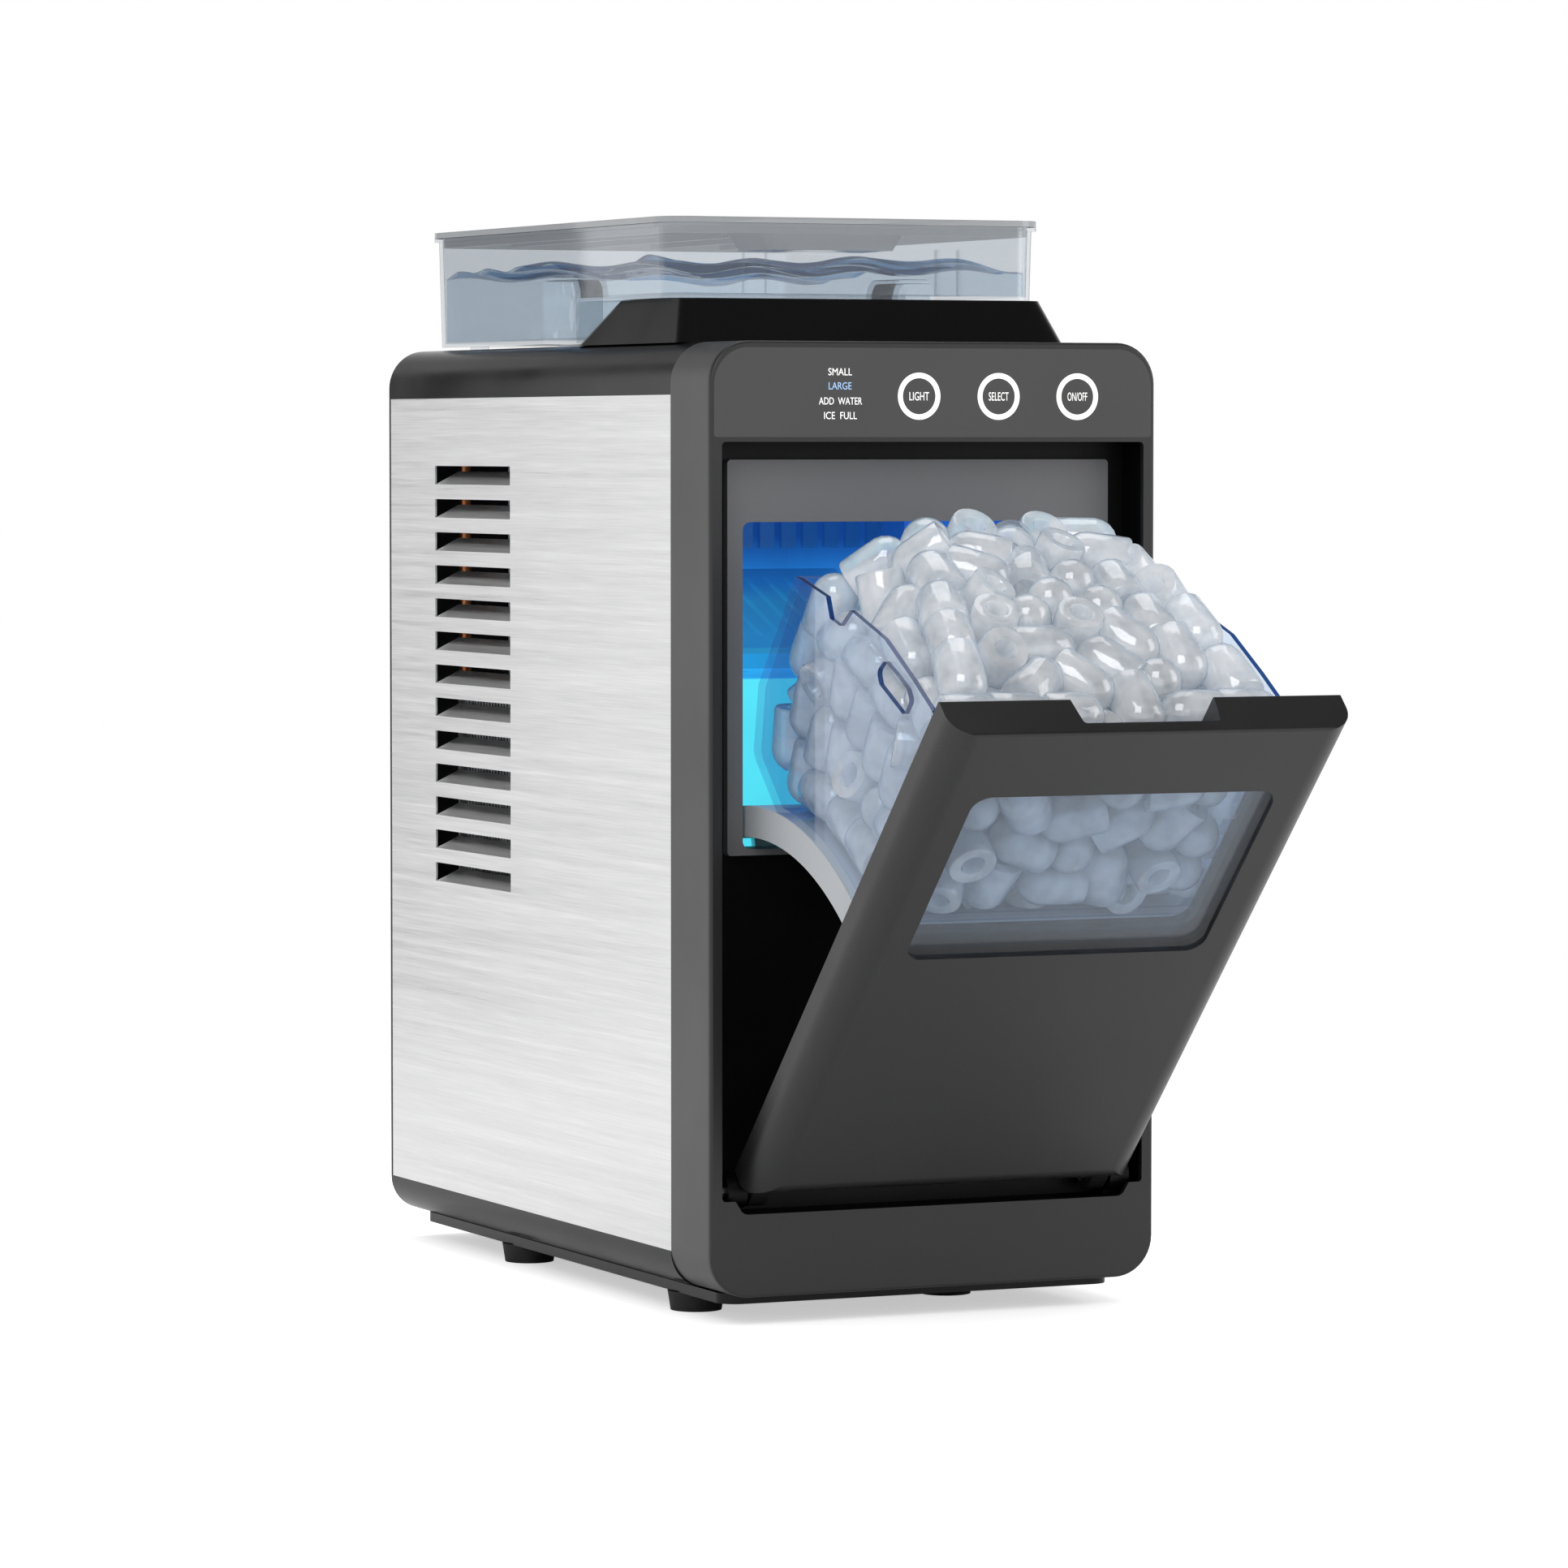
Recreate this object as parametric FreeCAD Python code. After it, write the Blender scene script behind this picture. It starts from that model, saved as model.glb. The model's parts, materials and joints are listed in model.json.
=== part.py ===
import FreeCAD, Part
import math
import os

# Countertop ice maker with a tilt-out ice bin and a lift-off water tank.
# Millimetres.  X is across the machine, +Y runs from the front to the rear, +Z is up.
# The pieces are drawn with y = 0 on the front plate and z = 0 on the table, then all
# are moved along Y so that the origin is the middle of the whole machine's base.

V = FreeCAD.Vector

# ---------------------------------------------------------------- overall sizes
BODY_W = 236.0            # outside width
BODY_Z0 = 14.5            # lower edge of the front plate
BODY_H = 455.3            # height of the front plate
BODY_DEPTH = 422.3        # front plate face to rear face
BODY_R = 20.0             # corner radius of the front outline
POST_DEPTH = 47.4         # depth of the black front frame
SKIRT_H = 18.4            # base skirt above BODY_Z0
COVER_H = 25.4            # side band of the top cover
PAN_H = 5.0               # lip under the base
SHELL = 2.5               # wall of the moulded shells
SHEET = 1.0               # steel sheet
REAR_T = 2.5              # rear panel
FLAT = 0.2                # clearance beside a part that slips into a pocket
SEAT = 0.3                # clearance between parts that come apart
RUN = 0.05                # radial running fit

# ---------------------------------------------------------------- front
PLATE_T = 3.0             # front plate
RECESS_W = 224.0          # door recess
RECESS_DROP = 47.9           # body top down to the recess
RECESS_FLOOR = 54.3
RECESS_DEPTH = 22.7
KICK_TOP = 60.8           # top edge of the lower front
SCOOP_W = 206.0           # finger scoop in that edge
SCOOP_R = 5.0
OVERLAY_W = 232.2         # gloss control overlay
OVERLAY_H = 42.6
OVERLAY_GAP = 2.2         # plate left between recess and overlay
OVERLAY_T = 1.2
RING_R = 11.3             # touch rings
RING_W = 2.7
RING_PITCH = 42.35
RING_X0 = -8.8
RING_DROP = 26.1             # body top down to the ring centres
LAND_W = 203.0            # grey panel round the ice opening
LAND_DROP = 56.4             # body top down to that panel
LAND_FACE = 17.5
OPEN_W = 187.0            # ice opening
OPEN_Z0 = 227.5
OPEN_H = 156.2
OPEN_R = 4.0
LIP = 3.0                 # panel left under the opening
SLEEVE_T = 2.0
SLEEVE_DEPTH = 17.0       # sleeve behind the recess back wall

# ---------------------------------------------------------------- door
PIVOT_Y = 12.0
PIVOT_Z = 64.5
DOOR_OPEN = 44.09         # degrees
DOOR_W = 203.5
DOOR_T = 21.7
DOOR_GAP = 0.6            # closed door to grey panel
DOOR_Z0 = 74.2
DOOR_H = 322.7
DOOR_R = 13.5             # front edges
WIN_W = 154.4
WIN_Z0 = 247.0
WIN_H = 109.1
WIN_R = 9.0
PANE_T = 3.0
NOTCH_W = 73.0
NOTCH_DEEP = 22.0
NOTCH_T = 15.3
PIN_R = 3.0
LUG_R = 7.4
LUG_X = 86.0
LUG_T = 9.0
KNUCKLE_T = 10.0
KNUCKLE_GAP = 2.0
MAGNET_R = 3.5
MAGNET_T = 3.0
MAGNET_X = 85.0
MAGNET_SKIN = 1.0            # panel left in front of a magnet

# ---------------------------------------------------------------- bin and cradle
CRADLE_R = 184.0
CRADLE_T = 15.0
CRADLE_W = 182.0
CRADLE_END = 56.0         # degrees behind the vertical, door closed
CRADLE_SKIN = 2.5
HOOK = 9.0                # stop hooks under the tail
BIN_WALL = 2.5
BIN_SIDE = 0.5            # bin wall inside the cradle's edge
BIN_FIT = 0.1
BAY_FIT = 0.5                # bin's window bay inside the door's window hole
BIN_FLOOR_Z = 214.5
BIN_TOP = ((35.0, 371.5), (60.0, 366.5), (93.0, 358.5), (127.8, 341.8), (130.9, 328.4),
           (140.9, 323.1), (151.1, 327.3), (181.7, 310.0))
BIN_REAR = ((176.0, 242.5), (158.0, 216.0), (153.0, BIN_FLOOR_Z))
BIN_SLOT = ((86.0, 351.5), (88.0, 342.5), (82.0, 340.0), (54.0, 348.5), (54.0, 358.0),
            (60.0, 359.5), (74.0, 355.5))

# ---------------------------------------------------------------- tank and dock
HUMP_FOOT = (208.0, 63.0, 204.0)      # width, front, rear
HUMP_TOP = (194.0, 76.0, 167.0)
HUMP_H = 21.7
HUMP_R = 12.0
TANK_W = 201.1
TANK_Y0 = 90.5
TANK_L = 313.7
TANK_RISE = 58.7             # tank rim above the body
TANK_STEP_Y = 206.5       # front wall of the deep end
TANK_DRAFT = 1.6
TANK_WALL = 2.0
TANK_R = 12.0
PAD_H = 1.5
RIM_H = 2.1
RIM_OUT = 2.25
LID_T = 2.9
GRIP_Y0 = 210.0
GRIP_L = 44.0
GRIP_H = 32.0
GRIP_IN = 16.0
VALVE_Y = 330.0
SPOUT_R = 9.0
STEM_R = 2.5

# ---------------------------------------------------------------- louvres
LOUVRE_N = 13
LOUVRE_Y0 = 252.4
LOUVRE_L = 104.0
LOUVRE_DROP = 60.3
LOUVRE_PITCH = 17.2
LOUVRE_H = 9.6
LOUVRE_IN = 8.0

# ---------------------------------------------------------------- ice works
LINER_W = 199.0
LINER_T = 2.5
LINER_Z0 = 148.0
LINER_TOP = 400.0
LINER_REAR = 200.0
BAY_W = 156.0
BAY_FRONT = 190.0
BAY_REAR = 345.0
BAY_Z0 = 302.0
BAY_TOP = 453.0
TRAY_W = 132.0
TRAY_L = 52.0
TRAY_H = 33.0
TRAY_WALL = 2.0
TRAY_Y = 270.0            # tray axle
TRAY_Z = 426.0
AXLE_R = 3.0
EVAP_Z = 437.0
EVAP_T = 9.0
FINGER_R = 4.5
FINGER_L = 30.0
FINGER_PITCH = 26.0
RAKE_Y = 212.0
RAKE_Z = 436.0
RAKE_L = 68.0

# ---------------------------------------------------------------- cooling works
FAN_Y = 304.0
FAN_Z = 244.0
FAN_R = 46.0
CONDENSER_X0 = -106.0
CONDENSER_T = 16.0
CONDENSER_Z0 = 188.0
CONDENSER_H = 112.0
CONDENSER_INSET = 2.0
ROW_N = 5                 # condenser tube rows
ROW_LOW = 12.0
ROW_PITCH = 22.0
PIPE_BEND = 4.5
GROMMET_H = 12.0
SHROUD_T = 22.0
COMP_X = 25.0
COMP_Y = 345.0
COMP_R = 50.0
COMP_H = 130.0
FOOT_R = 14.0
FOOT_R_LOW = 12.5
FOOT_AT = ((-92.0, 77.0), (46.0, 84.0), (-92.0, 292.0), (92.0, 292.0))

HALF = BODY_W / 2
BODY_TOP = BODY_Z0 + BODY_H
RECESS_TOP = BODY_TOP - RECESS_DROP
RING_Z = BODY_TOP - RING_DROP
LAND_TOP = BODY_TOP - LAND_DROP
TANK_TOP = BODY_TOP + TANK_RISE
LOUVRE_TOP = BODY_TOP - LOUVRE_DROP
SCREW_X = HALF - 10.0
PAN_Z0 = BODY_Z0 - PAN_H
STEEL_Z0 = BODY_Z0 + SKIRT_H
STEEL_Z1 = BODY_TOP - COVER_H
REAR_Y0 = BODY_DEPTH - REAR_T
FLOOR_Z = BODY_Z0 + SHELL
DOOR_IN = LAND_FACE - DOOR_GAP
DOOR_FRONT = DOOR_IN - DOOR_T
DOOR_Z1 = DOOR_Z0 + DOOR_H
RIM_Z0 = TANK_TOP - RIM_H
TANK_Z0 = BODY_TOP + PAD_H
TANK_Y1 = TANK_Y0 + TANK_L
SHALLOW_Z = BODY_TOP + HUMP_H + SEAT

PIECES = {}


# ---------------------------------------------------------------- drawing helpers
def box(x0, x1, y0, y1, z0, z1):
    return Part.makeBox(x1 - x0, y1 - y0, z1 - z0, V(x0, y0, z0))


def rod(axis, start, radius, length):
    return Part.makeCylinder(radius, length, V(*start), V(*axis))


def place(plane, at, u, v):
    if plane == "xz":
        return V(u, at, v)
    if plane == "yz":
        return V(at, u, v)
    return V(u, v, at)


def outline(corners, plane, at):
    """A closed wire through (u, v, radius) corners, each rounded by its own radius."""
    ends = []
    count = len(corners)
    for i in range(count):
        u, v = corners[i][0], corners[i][1]
        radius = corners[i][2] if len(corners[i]) > 2 else 0.0
        if radius <= 0:
            ends.append(((u, v), None, (u, v)))
            continue
        before = corners[i - 1]
        after = corners[(i + 1) % count]
        du, dv = before[0] - u, before[1] - v
        eu, ev = after[0] - u, after[1] - v
        ld, le = math.hypot(du, dv), math.hypot(eu, ev)
        du, dv, eu, ev = du / ld, dv / ld, eu / le, ev / le
        half = math.acos(max(-1.0, min(1.0, du * eu + dv * ev))) / 2
        back = radius / math.tan(half)
        mu, mv = du + eu, dv + ev
        lm = math.hypot(mu, mv)
        reach = radius / math.sin(half) - radius
        middle = (u + mu / lm * reach, v + mv / lm * reach)
        ends.append(((u + du * back, v + dv * back), middle, (u + eu * back, v + ev * back)))
    edges = []
    for i in range(count):
        first, middle, last = ends[i]
        if middle:
            edges.append(Part.Arc(place(plane, at, *first), place(plane, at, *middle),
                                  place(plane, at, *last)).toShape())
        start, stop = place(plane, at, *last), place(plane, at, *ends[(i + 1) % count][0])
        if start.distanceToPoint(stop) > 1e-6:
            edges.append(Part.makeLine(start, stop))
    return Part.Wire(edges)


def prism(corners, plane, low, high):
    face = Part.Face(outline(corners, plane, low))
    way = {"xz": V(0, high - low, 0), "yz": V(high - low, 0, 0), "xy": V(0, 0, high - low)}
    return face.extrude(way[plane])


def slab(u0, u1, v0, v1, radius, plane, low, high):
    """A rectangle with four equal rounded corners, made into a plate."""
    corners = [(u0, v0, radius), (u1, v0, radius), (u1, v1, radius), (u0, v1, radius)]
    return prism(corners, plane, low, high)


def both(shape):
    """The shape and its mirror image across the machine's middle plane."""
    return shape.fuse(shape.mirror(V(0, 0, 0), V(1, 0, 0)))


def join(shapes):
    whole = shapes[0].fuse(shapes[1:]) if len(shapes) > 1 else shapes[0]
    return whole.removeSplitter()


def cut(shape, tools):
    return shape.cut(tools)


def sector(r0, r1, a0, a1, x0, x1):
    """A slice of a ring about the door pivot; angles lean rearwards from vertical."""
    def at(radius, angle):
        turn = math.radians(angle)
        return V(x0, PIVOT_Y + radius * math.sin(turn), PIVOT_Z + radius * math.cos(turn))
    mid = (a0 + a1) / 2
    edges = [Part.Arc(at(r1, a0), at(r1, mid), at(r1, a1)).toShape(),
             Part.makeLine(at(r1, a1), at(r0, a1)),
             Part.Arc(at(r0, a1), at(r0, mid), at(r0, a0)).toShape(),
             Part.makeLine(at(r0, a0), at(r1, a0))]
    return Part.Face(Part.Wire(edges)).extrude(V(x1 - x0, 0, 0))


def opened(shape):
    """The door group is drawn shut and turned to the open rest position."""
    turned = shape.copy()
    turned.rotate(V(0, PIVOT_Y, PIVOT_Z), V(1, 0, 0), DOOR_OPEN)
    return turned


def tube(points, radius, bend, bore=0.0):
    """A pipe along straight runs joined by bends; bore 0 makes a solid rod."""
    edges = []
    start = V(*points[0])
    for i in range(1, len(points) - 1):
        corner = V(*points[i])
        back = V(*points[i - 1]) - corner
        ahead = V(*points[i + 1]) - corner
        back.normalize()
        ahead.normalize()
        half = back.getAngle(ahead) / 2
        reach = bend / math.tan(half)
        first = corner + back * reach
        last = corner + ahead * reach
        bisect = back + ahead
        bisect.normalize()
        middle = corner + bisect * (bend / math.sin(half) - bend)
        edges.append(Part.makeLine(start, first))
        edges.append(Part.Arc(first, middle, last).toShape())
        start = last
    edges.append(Part.makeLine(start, V(*points[-1])))
    spine = Part.Wire(edges)
    lead = V(*points[1]) - V(*points[0])
    outer = spine.makePipeShell([Part.Wire(Part.makeCircle(radius, V(*points[0]), lead))],
                                True, False)
    if bore <= 0:
        return outer
    inner = spine.makePipeShell([Part.Wire(Part.makeCircle(bore, V(*points[0]), lead))],
                                True, False)
    return outer.cut(inner)


def keep(name, shapes):
    """One node: a single solid, or a group of separate solids."""
    solids = []
    for shape in shapes if isinstance(shapes, list) else [shapes]:
        solids.extend(shape.Solids)
    PIECES[name] = Part.makeCompound(solids) if len(solids) > 1 else solids[0]


# ---------------------------------------------------------------- outer shell
def base_tray():
    outer = prism([(-HALF, BODY_Z0, BODY_R - 2), (HALF, BODY_Z0, BODY_R - 2), (HALF, STEEL_Z0),
                   (-HALF, STEEL_Z0)], "xz", POST_DEPTH, BODY_DEPTH)
    hollow = prism([(-HALF + SHELL, FLOOR_Z, BODY_R - 2 - SHELL),
                    (HALF - SHELL, FLOOR_Z, BODY_R - 2 - SHELL), (HALF - SHELL, STEEL_Z0),
                    (-HALF + SHELL, STEEL_Z0)], "xz", POST_DEPTH, REAR_Y0)
    pan = slab(-HALF + 14, HALF - 14, 16, BODY_DEPTH - 12, 10, "xy", PAN_Z0, BODY_Z0)
    tray = join([outer.cut(hollow), pan])
    holes = []
    for x, y in FOOT_AT:
        holes.append(rod((0, 0, 1), (x, y, PAN_Z0), FOOT_SCREW_R + FLAT, SHELL + PAN_H))
    return cut(tray, holes)


FOOT_SCREW_R = 2.0
FOOT_PLUG = 1.5


def feet():
    made, screws = [], []
    for x, y in FOOT_AT:
        pad = Part.makeCone(FOOT_R_LOW, FOOT_R, PAN_Z0, V(x, y, 0), V(0, 0, 1))
        bore = rod((0, 0, 1), (x, y, FOOT_PLUG), FOOT_SCREW_R + FLAT, PAN_Z0)
        head = rod((0, 0, 1), (x, y, 0), 2 * FOOT_SCREW_R + FLAT, FOOT_PLUG + 2)
        made.append(pad.cut([bore, head]))
        screw = rod((0, 0, 1), (x, y, FOOT_PLUG), 2 * FOOT_SCREW_R, 2).fuse(
            rod((0, 0, 1), (x, y, FOOT_PLUG + 2), FOOT_SCREW_R, FLOOR_Z - FOOT_PLUG + 4))
        nut = rod((0, 0, 1), (x, y, FLOOR_Z), 2 * FOOT_SCREW_R, 3)
        screws.append(screw.fuse(nut))
    return made, screws


def side_panel():
    """The left sheet; the flaps lean inwards from the lower edge of each slot."""
    x0, x1 = -HALF, -HALF + SHEET
    sheet = box(x0, x1, POST_DEPTH, REAR_Y0, STEEL_Z0, STEEL_Z1)
    parts = [sheet, box(x1, x1 + 8, POST_DEPTH, REAR_Y0, STEEL_Z0, STEEL_Z0 + SHEET),
             box(x1, x1 + 8, POST_DEPTH, REAR_Y0, STEEL_Z1 - SHEET, STEEL_Z1)]
    slots = []
    for i in range(LOUVRE_N):
        top = LOUVRE_TOP - i * LOUVRE_PITCH
        low = top - LOUVRE_H
        slots.append(box(x0, x1, LOUVRE_Y0, LOUVRE_Y0 + LOUVRE_L, low, top))
        flap = prism([(x0, low), (x1, low - SHEET), (x1 + LOUVRE_IN, low + LOUVRE_H * 0.6),
                      (x1 + LOUVRE_IN - SHEET, low + LOUVRE_H * 0.6 + SHEET)], "xz",
                     LOUVRE_Y0, LOUVRE_Y0 + LOUVRE_L)
        y1 = LOUVRE_Y0 + LOUVRE_L
        corner = prism([(x0 - 1, y1 + 0.01), (x0 + LOUVRE_IN + 3, y1 + 0.01),
                        (x0 + LOUVRE_IN + 3, y1 - 2.2 * LOUVRE_IN)], "xy",
                       low - 3, top + 3)
        parts.append(flap.cut(corner))
    return join([sheet.cut(slots)] + parts[1:])


def rear_panel():
    panel = box(-HALF, HALF, REAR_Y0, BODY_DEPTH, STEEL_Z0, STEEL_Z1)
    vents = []
    for i in range(10):
        z = 150 + i * 12.0
        vents.append(slab(-80, 20, z, z + 5, 2.4, "xz", REAR_Y0, BODY_DEPTH))
    inlet = slab(INLET_X - INLET_W / 2, INLET_X + INLET_W / 2, INLET_Z - INLET_H / 2,
                 INLET_Z + INLET_H / 2, 3, "xz", REAR_Y0, BODY_DEPTH)
    drain = rod((0, 1, 0), (DRAIN_X, REAR_Y0, DRAIN_Z), DRAIN_R + FLAT, REAR_T)
    screws = [rod((0, 1, 0), (x, REAR_Y0, z), SCREW_R, REAR_T) for x, z in SCREW_AT]
    return cut(panel, vents + [inlet, drain] + screws)


INLET_X, INLET_Z, INLET_W, INLET_H = -78.0, 66.0, 28.0, 24.0
DRAIN_X, DRAIN_Z, DRAIN_R = 86.0, 60.0, 8.0
SCREW_R = 1.8
SCREW_AT = [(x, z) for x in (-SCREW_X, SCREW_X) for z in (48.0, 240.0, BODY_TOP - 39.8)]


def panel_screws():
    made = []
    for x, z in SCREW_AT:
        head = Part.makeSphere(4.2, V(x, BODY_DEPTH - 2.6, z)).common(
            box(x - 5, x + 5, BODY_DEPTH, BODY_DEPTH + 5, z - 5, z + 5))
        shank = rod((0, 1, 0), (x, BODY_DEPTH - 9, z), SCREW_R - RUN, 9)
        made.append(head.fuse(shank))
    return made


def screw_rails():
    """Two folded rails that the rear panel is screwed to."""
    made = []
    for side in (-1, 1):
        x = side * SCREW_X
        rail = box(x - 9, x + 9, REAR_Y0 - 1.5, REAR_Y0, STEEL_Z0 + SHEET, STEEL_Z1 - SHEET)
        rail = rail.common(box(-HALF + SHEET, HALF - SHEET, 0, BODY_DEPTH, 0, BODY_TOP))
        inner = side * (abs(x) - 10)
        web = box(min(inner, inner + side * 1.5), max(inner, inner + side * 1.5),
                  REAR_Y0 - 14, REAR_Y0, FLOOR_Z, STEEL_Z1 - SHEET)
        holes = [rod((0, 1, 0), (x, REAR_Y0 - 2, z), SCREW_R + RUN, 3)
                 for sx, z in SCREW_AT if sx == x]
        made.append(rail.fuse(web).cut(holes))
    return made


def power_inlet():
    flange = slab(INLET_X - INLET_W / 2 - 3, INLET_X + INLET_W / 2 + 3, INLET_Z - INLET_H / 2 - 3,
                  INLET_Z + INLET_H / 2 + 3, 4, "xz", BODY_DEPTH, BODY_DEPTH + 2)
    shell = slab(INLET_X - INLET_W / 2 + FLAT, INLET_X + INLET_W / 2 - FLAT,
                 INLET_Z - INLET_H / 2 + FLAT, INLET_Z + INLET_H / 2 - FLAT, 3, "xz",
                 BODY_DEPTH - 24, BODY_DEPTH)
    well = slab(INLET_X - INLET_W / 2 + 2.2, INLET_X + INLET_W / 2 - 2.2,
                INLET_Z - INLET_H / 2 + 2.2, INLET_Z + INLET_H / 2 - 2.2, 3.5, "xz",
                BODY_DEPTH - 16, BODY_DEPTH + 2)
    body = flange.fuse(shell).cut(well)
    pins = [box(INLET_X + dx - 1, INLET_X + dx + 1, BODY_DEPTH - 16, BODY_DEPTH - 2,
                INLET_Z + dz - 2, INLET_Z + dz + 2) for dx, dz in ((-7, -2), (0, 2), (7, -2))]
    return body.fuse(pins).removeSplitter()


def top_cover():
    outer = prism([(-HALF, STEEL_Z1), (HALF, STEEL_Z1), (HALF, BODY_TOP, BODY_R),
                   (-HALF, BODY_TOP, BODY_R)], "xz", POST_DEPTH, BODY_DEPTH)
    hollow = prism([(-HALF + SHELL, STEEL_Z1), (HALF - SHELL, STEEL_Z1),
                    (HALF - SHELL, BODY_TOP - SHELL, BODY_R - SHELL),
                    (-HALF + SHELL, BODY_TOP - SHELL, BODY_R - SHELL)], "xz",
                   POST_DEPTH, REAR_Y0)
    seat = rod((0, 0, 1), (0, VALVE_Y, BODY_TOP - SHELL), SPOUT_R + 6, SHELL)
    return outer.cut([hollow, seat])


def dock_seat():
    """The cup under the tank's spout, with the pin that lifts the tank's valve."""
    top = BODY_TOP
    cup = rod((0, 0, 1), (0, VALVE_Y, top - 12), SPOUT_R + 6 - FLAT, 12)
    cup = cup.cut(rod((0, 0, 1), (0, VALVE_Y, top - 10), SPOUT_R + 3, 10))
    flange = rod((0, 0, 1), (0, VALVE_Y, top - SHELL - 2), SPOUT_R + 10, 2).cut(
        rod((0, 0, 1), (0, VALVE_Y, top - SHELL - 2), SPOUT_R + 4, 2))
    outlet = rod((0, 0, 1), (0, VALVE_Y + 7, top - 22), 4, 10.5).cut(
        rod((0, 0, 1), (0, VALVE_Y + 7, top - 22), 2.5, 12.5))
    pin = rod((0, 0, 1), (0, VALVE_Y, top - 10), STEM_R, 3)
    body = cup.fuse([flange, outlet])
    return body.cut(rod((0, 0, 1), (0, VALVE_Y + 7, top - 22), 2.5, 13)).fuse(pin)


def tank_dock():
    def ring(size, inset, z):
        width, front, rear = size
        w = width / 2 - inset
        r = HUMP_R - inset
        return outline([(-w, front + inset, r), (w, front + inset, r), (w, rear - inset, r),
                        (-w, rear - inset, r)], "xy", z)
    top = BODY_TOP + HUMP_H
    outer = Part.makeLoft([ring(HUMP_FOOT, 0, BODY_TOP), ring(HUMP_TOP, 0, top)], True)
    inner = Part.makeLoft([ring(HUMP_FOOT, SHELL, BODY_TOP - 0.01),
                           ring(HUMP_TOP, SHELL, top - SHELL)], True)
    ribs = [box(x - 1, x + 1, HUMP_TOP[1] + 2, HUMP_TOP[2] - 2, BODY_TOP, top - SHELL + 0.5)
            for x in (-60, -20, 20, 60)]
    return outer.cut(inner).fuse(ribs).removeSplitter()


# ---------------------------------------------------------------- front
def overlay_box():
    z0 = RECESS_TOP + OVERLAY_GAP
    half = OVERLAY_W / 2
    return half, z0, z0 + OVERLAY_H


def overlay_shape(grow, low, high):
    half, z0, z1 = overlay_box()
    half, z0, z1 = half + grow, z0 - grow, z1 + grow
    round_top = BODY_R - 2 + grow
    return prism([(-half, z0, 1.5), (half, z0, 1.5), (half, z1, round_top), (-half, z1, round_top)],
                 "xz", low, high)


def ring_centres():
    return [(RING_X0 + i * RING_PITCH, RING_Z) for i in range(3)]


def front_fascia():
    plate = slab(-HALF, HALF, BODY_Z0, BODY_TOP, BODY_R, "xz", 0, PLATE_T)
    edge = [e for e in plate.Edges if abs(e.BoundBox.YMax) < 1e-6 and abs(e.BoundBox.YMin) < 1e-6]
    plate = plate.makeFillet(1.4, edge)
    hole = slab(-RECESS_W / 2, RECESS_W / 2, KICK_TOP, RECESS_TOP, 2, "xz", 0, PLATE_T)
    scoop = prism([(-SCOOP_W / 2 - SCOOP_R, KICK_TOP + SCOOP_R), (-SCOOP_W / 2 + 2, RECESS_FLOOR, SCOOP_R),
                   (SCOOP_W / 2 - 2, RECESS_FLOOR, SCOOP_R),
                   (SCOOP_W / 2 + SCOOP_R, KICK_TOP + SCOOP_R)], "xz", 0, PLATE_T)
    return plate.cut([hole, scoop, overlay_shape(RUN, 0, OVERLAY_T)])


def control_panel():
    sheet = overlay_shape(0, 0, OVERLAY_T)
    rings = []
    for x, z in ring_centres():
        ring = rod((0, 1, 0), (x, 0, z), RING_R, OVERLAY_T).cut(
            rod((0, 1, 0), (x, 0, z), RING_R - RING_W, OVERLAY_T))
        rings.append(ring)
    groove = [r.copy() for r in rings]
    for g in groove:
        g.translate(V(0, -OVERLAY_T / 2, 0))
    return sheet.cut(groove)


def touch_rings():
    made = []
    for x, z in ring_centres():
        made.append(rod((0, 1, 0), (x, 0, z), RING_R - RUN, OVERLAY_T / 2).cut(
            rod((0, 1, 0), (x, 0, z), RING_R - RING_W + RUN, OVERLAY_T / 2)))
    return made


def front_frame():
    outer = slab(-HALF, HALF, BODY_Z0, BODY_TOP, BODY_R, "xz", PLATE_T, POST_DEPTH)
    back = RECESS_DEPTH + SHELL
    hollow = slab(-HALF + SHELL, HALF - SHELL, FLOOR_Z, BODY_TOP - SHELL, BODY_R - SHELL,
                  "xz", back, POST_DEPTH)
    recess = box(-RECESS_W / 2, RECESS_W / 2, PLATE_T, RECESS_DEPTH, RECESS_FLOOR, RECESS_TOP)
    board_bay = box(-RECESS_W / 2 + 4, RECESS_W / 2 - 4, PLATE_T + SHELL, back,
                    RECESS_TOP + SHELL, BODY_TOP - SHELL - 4)
    foot_bay = box(-RECESS_W / 2 + 4, RECESS_W / 2 - 4, PLATE_T + SHELL, back,
                   BODY_Z0 + SHELL + 4, RECESS_FLOOR - SHELL)
    sleeve_w = OPEN_W / 2 + SLEEVE_T + FLAT
    mouth = box(-sleeve_w, sleeve_w, RECESS_DEPTH, back, OPEN_Z0 - SLEEVE_T - FLAT,
                OPEN_Z0 + OPEN_H + SLEEVE_T + FLAT)
    return outer.cut([hollow, recess, board_bay, foot_bay, mouth])


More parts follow.
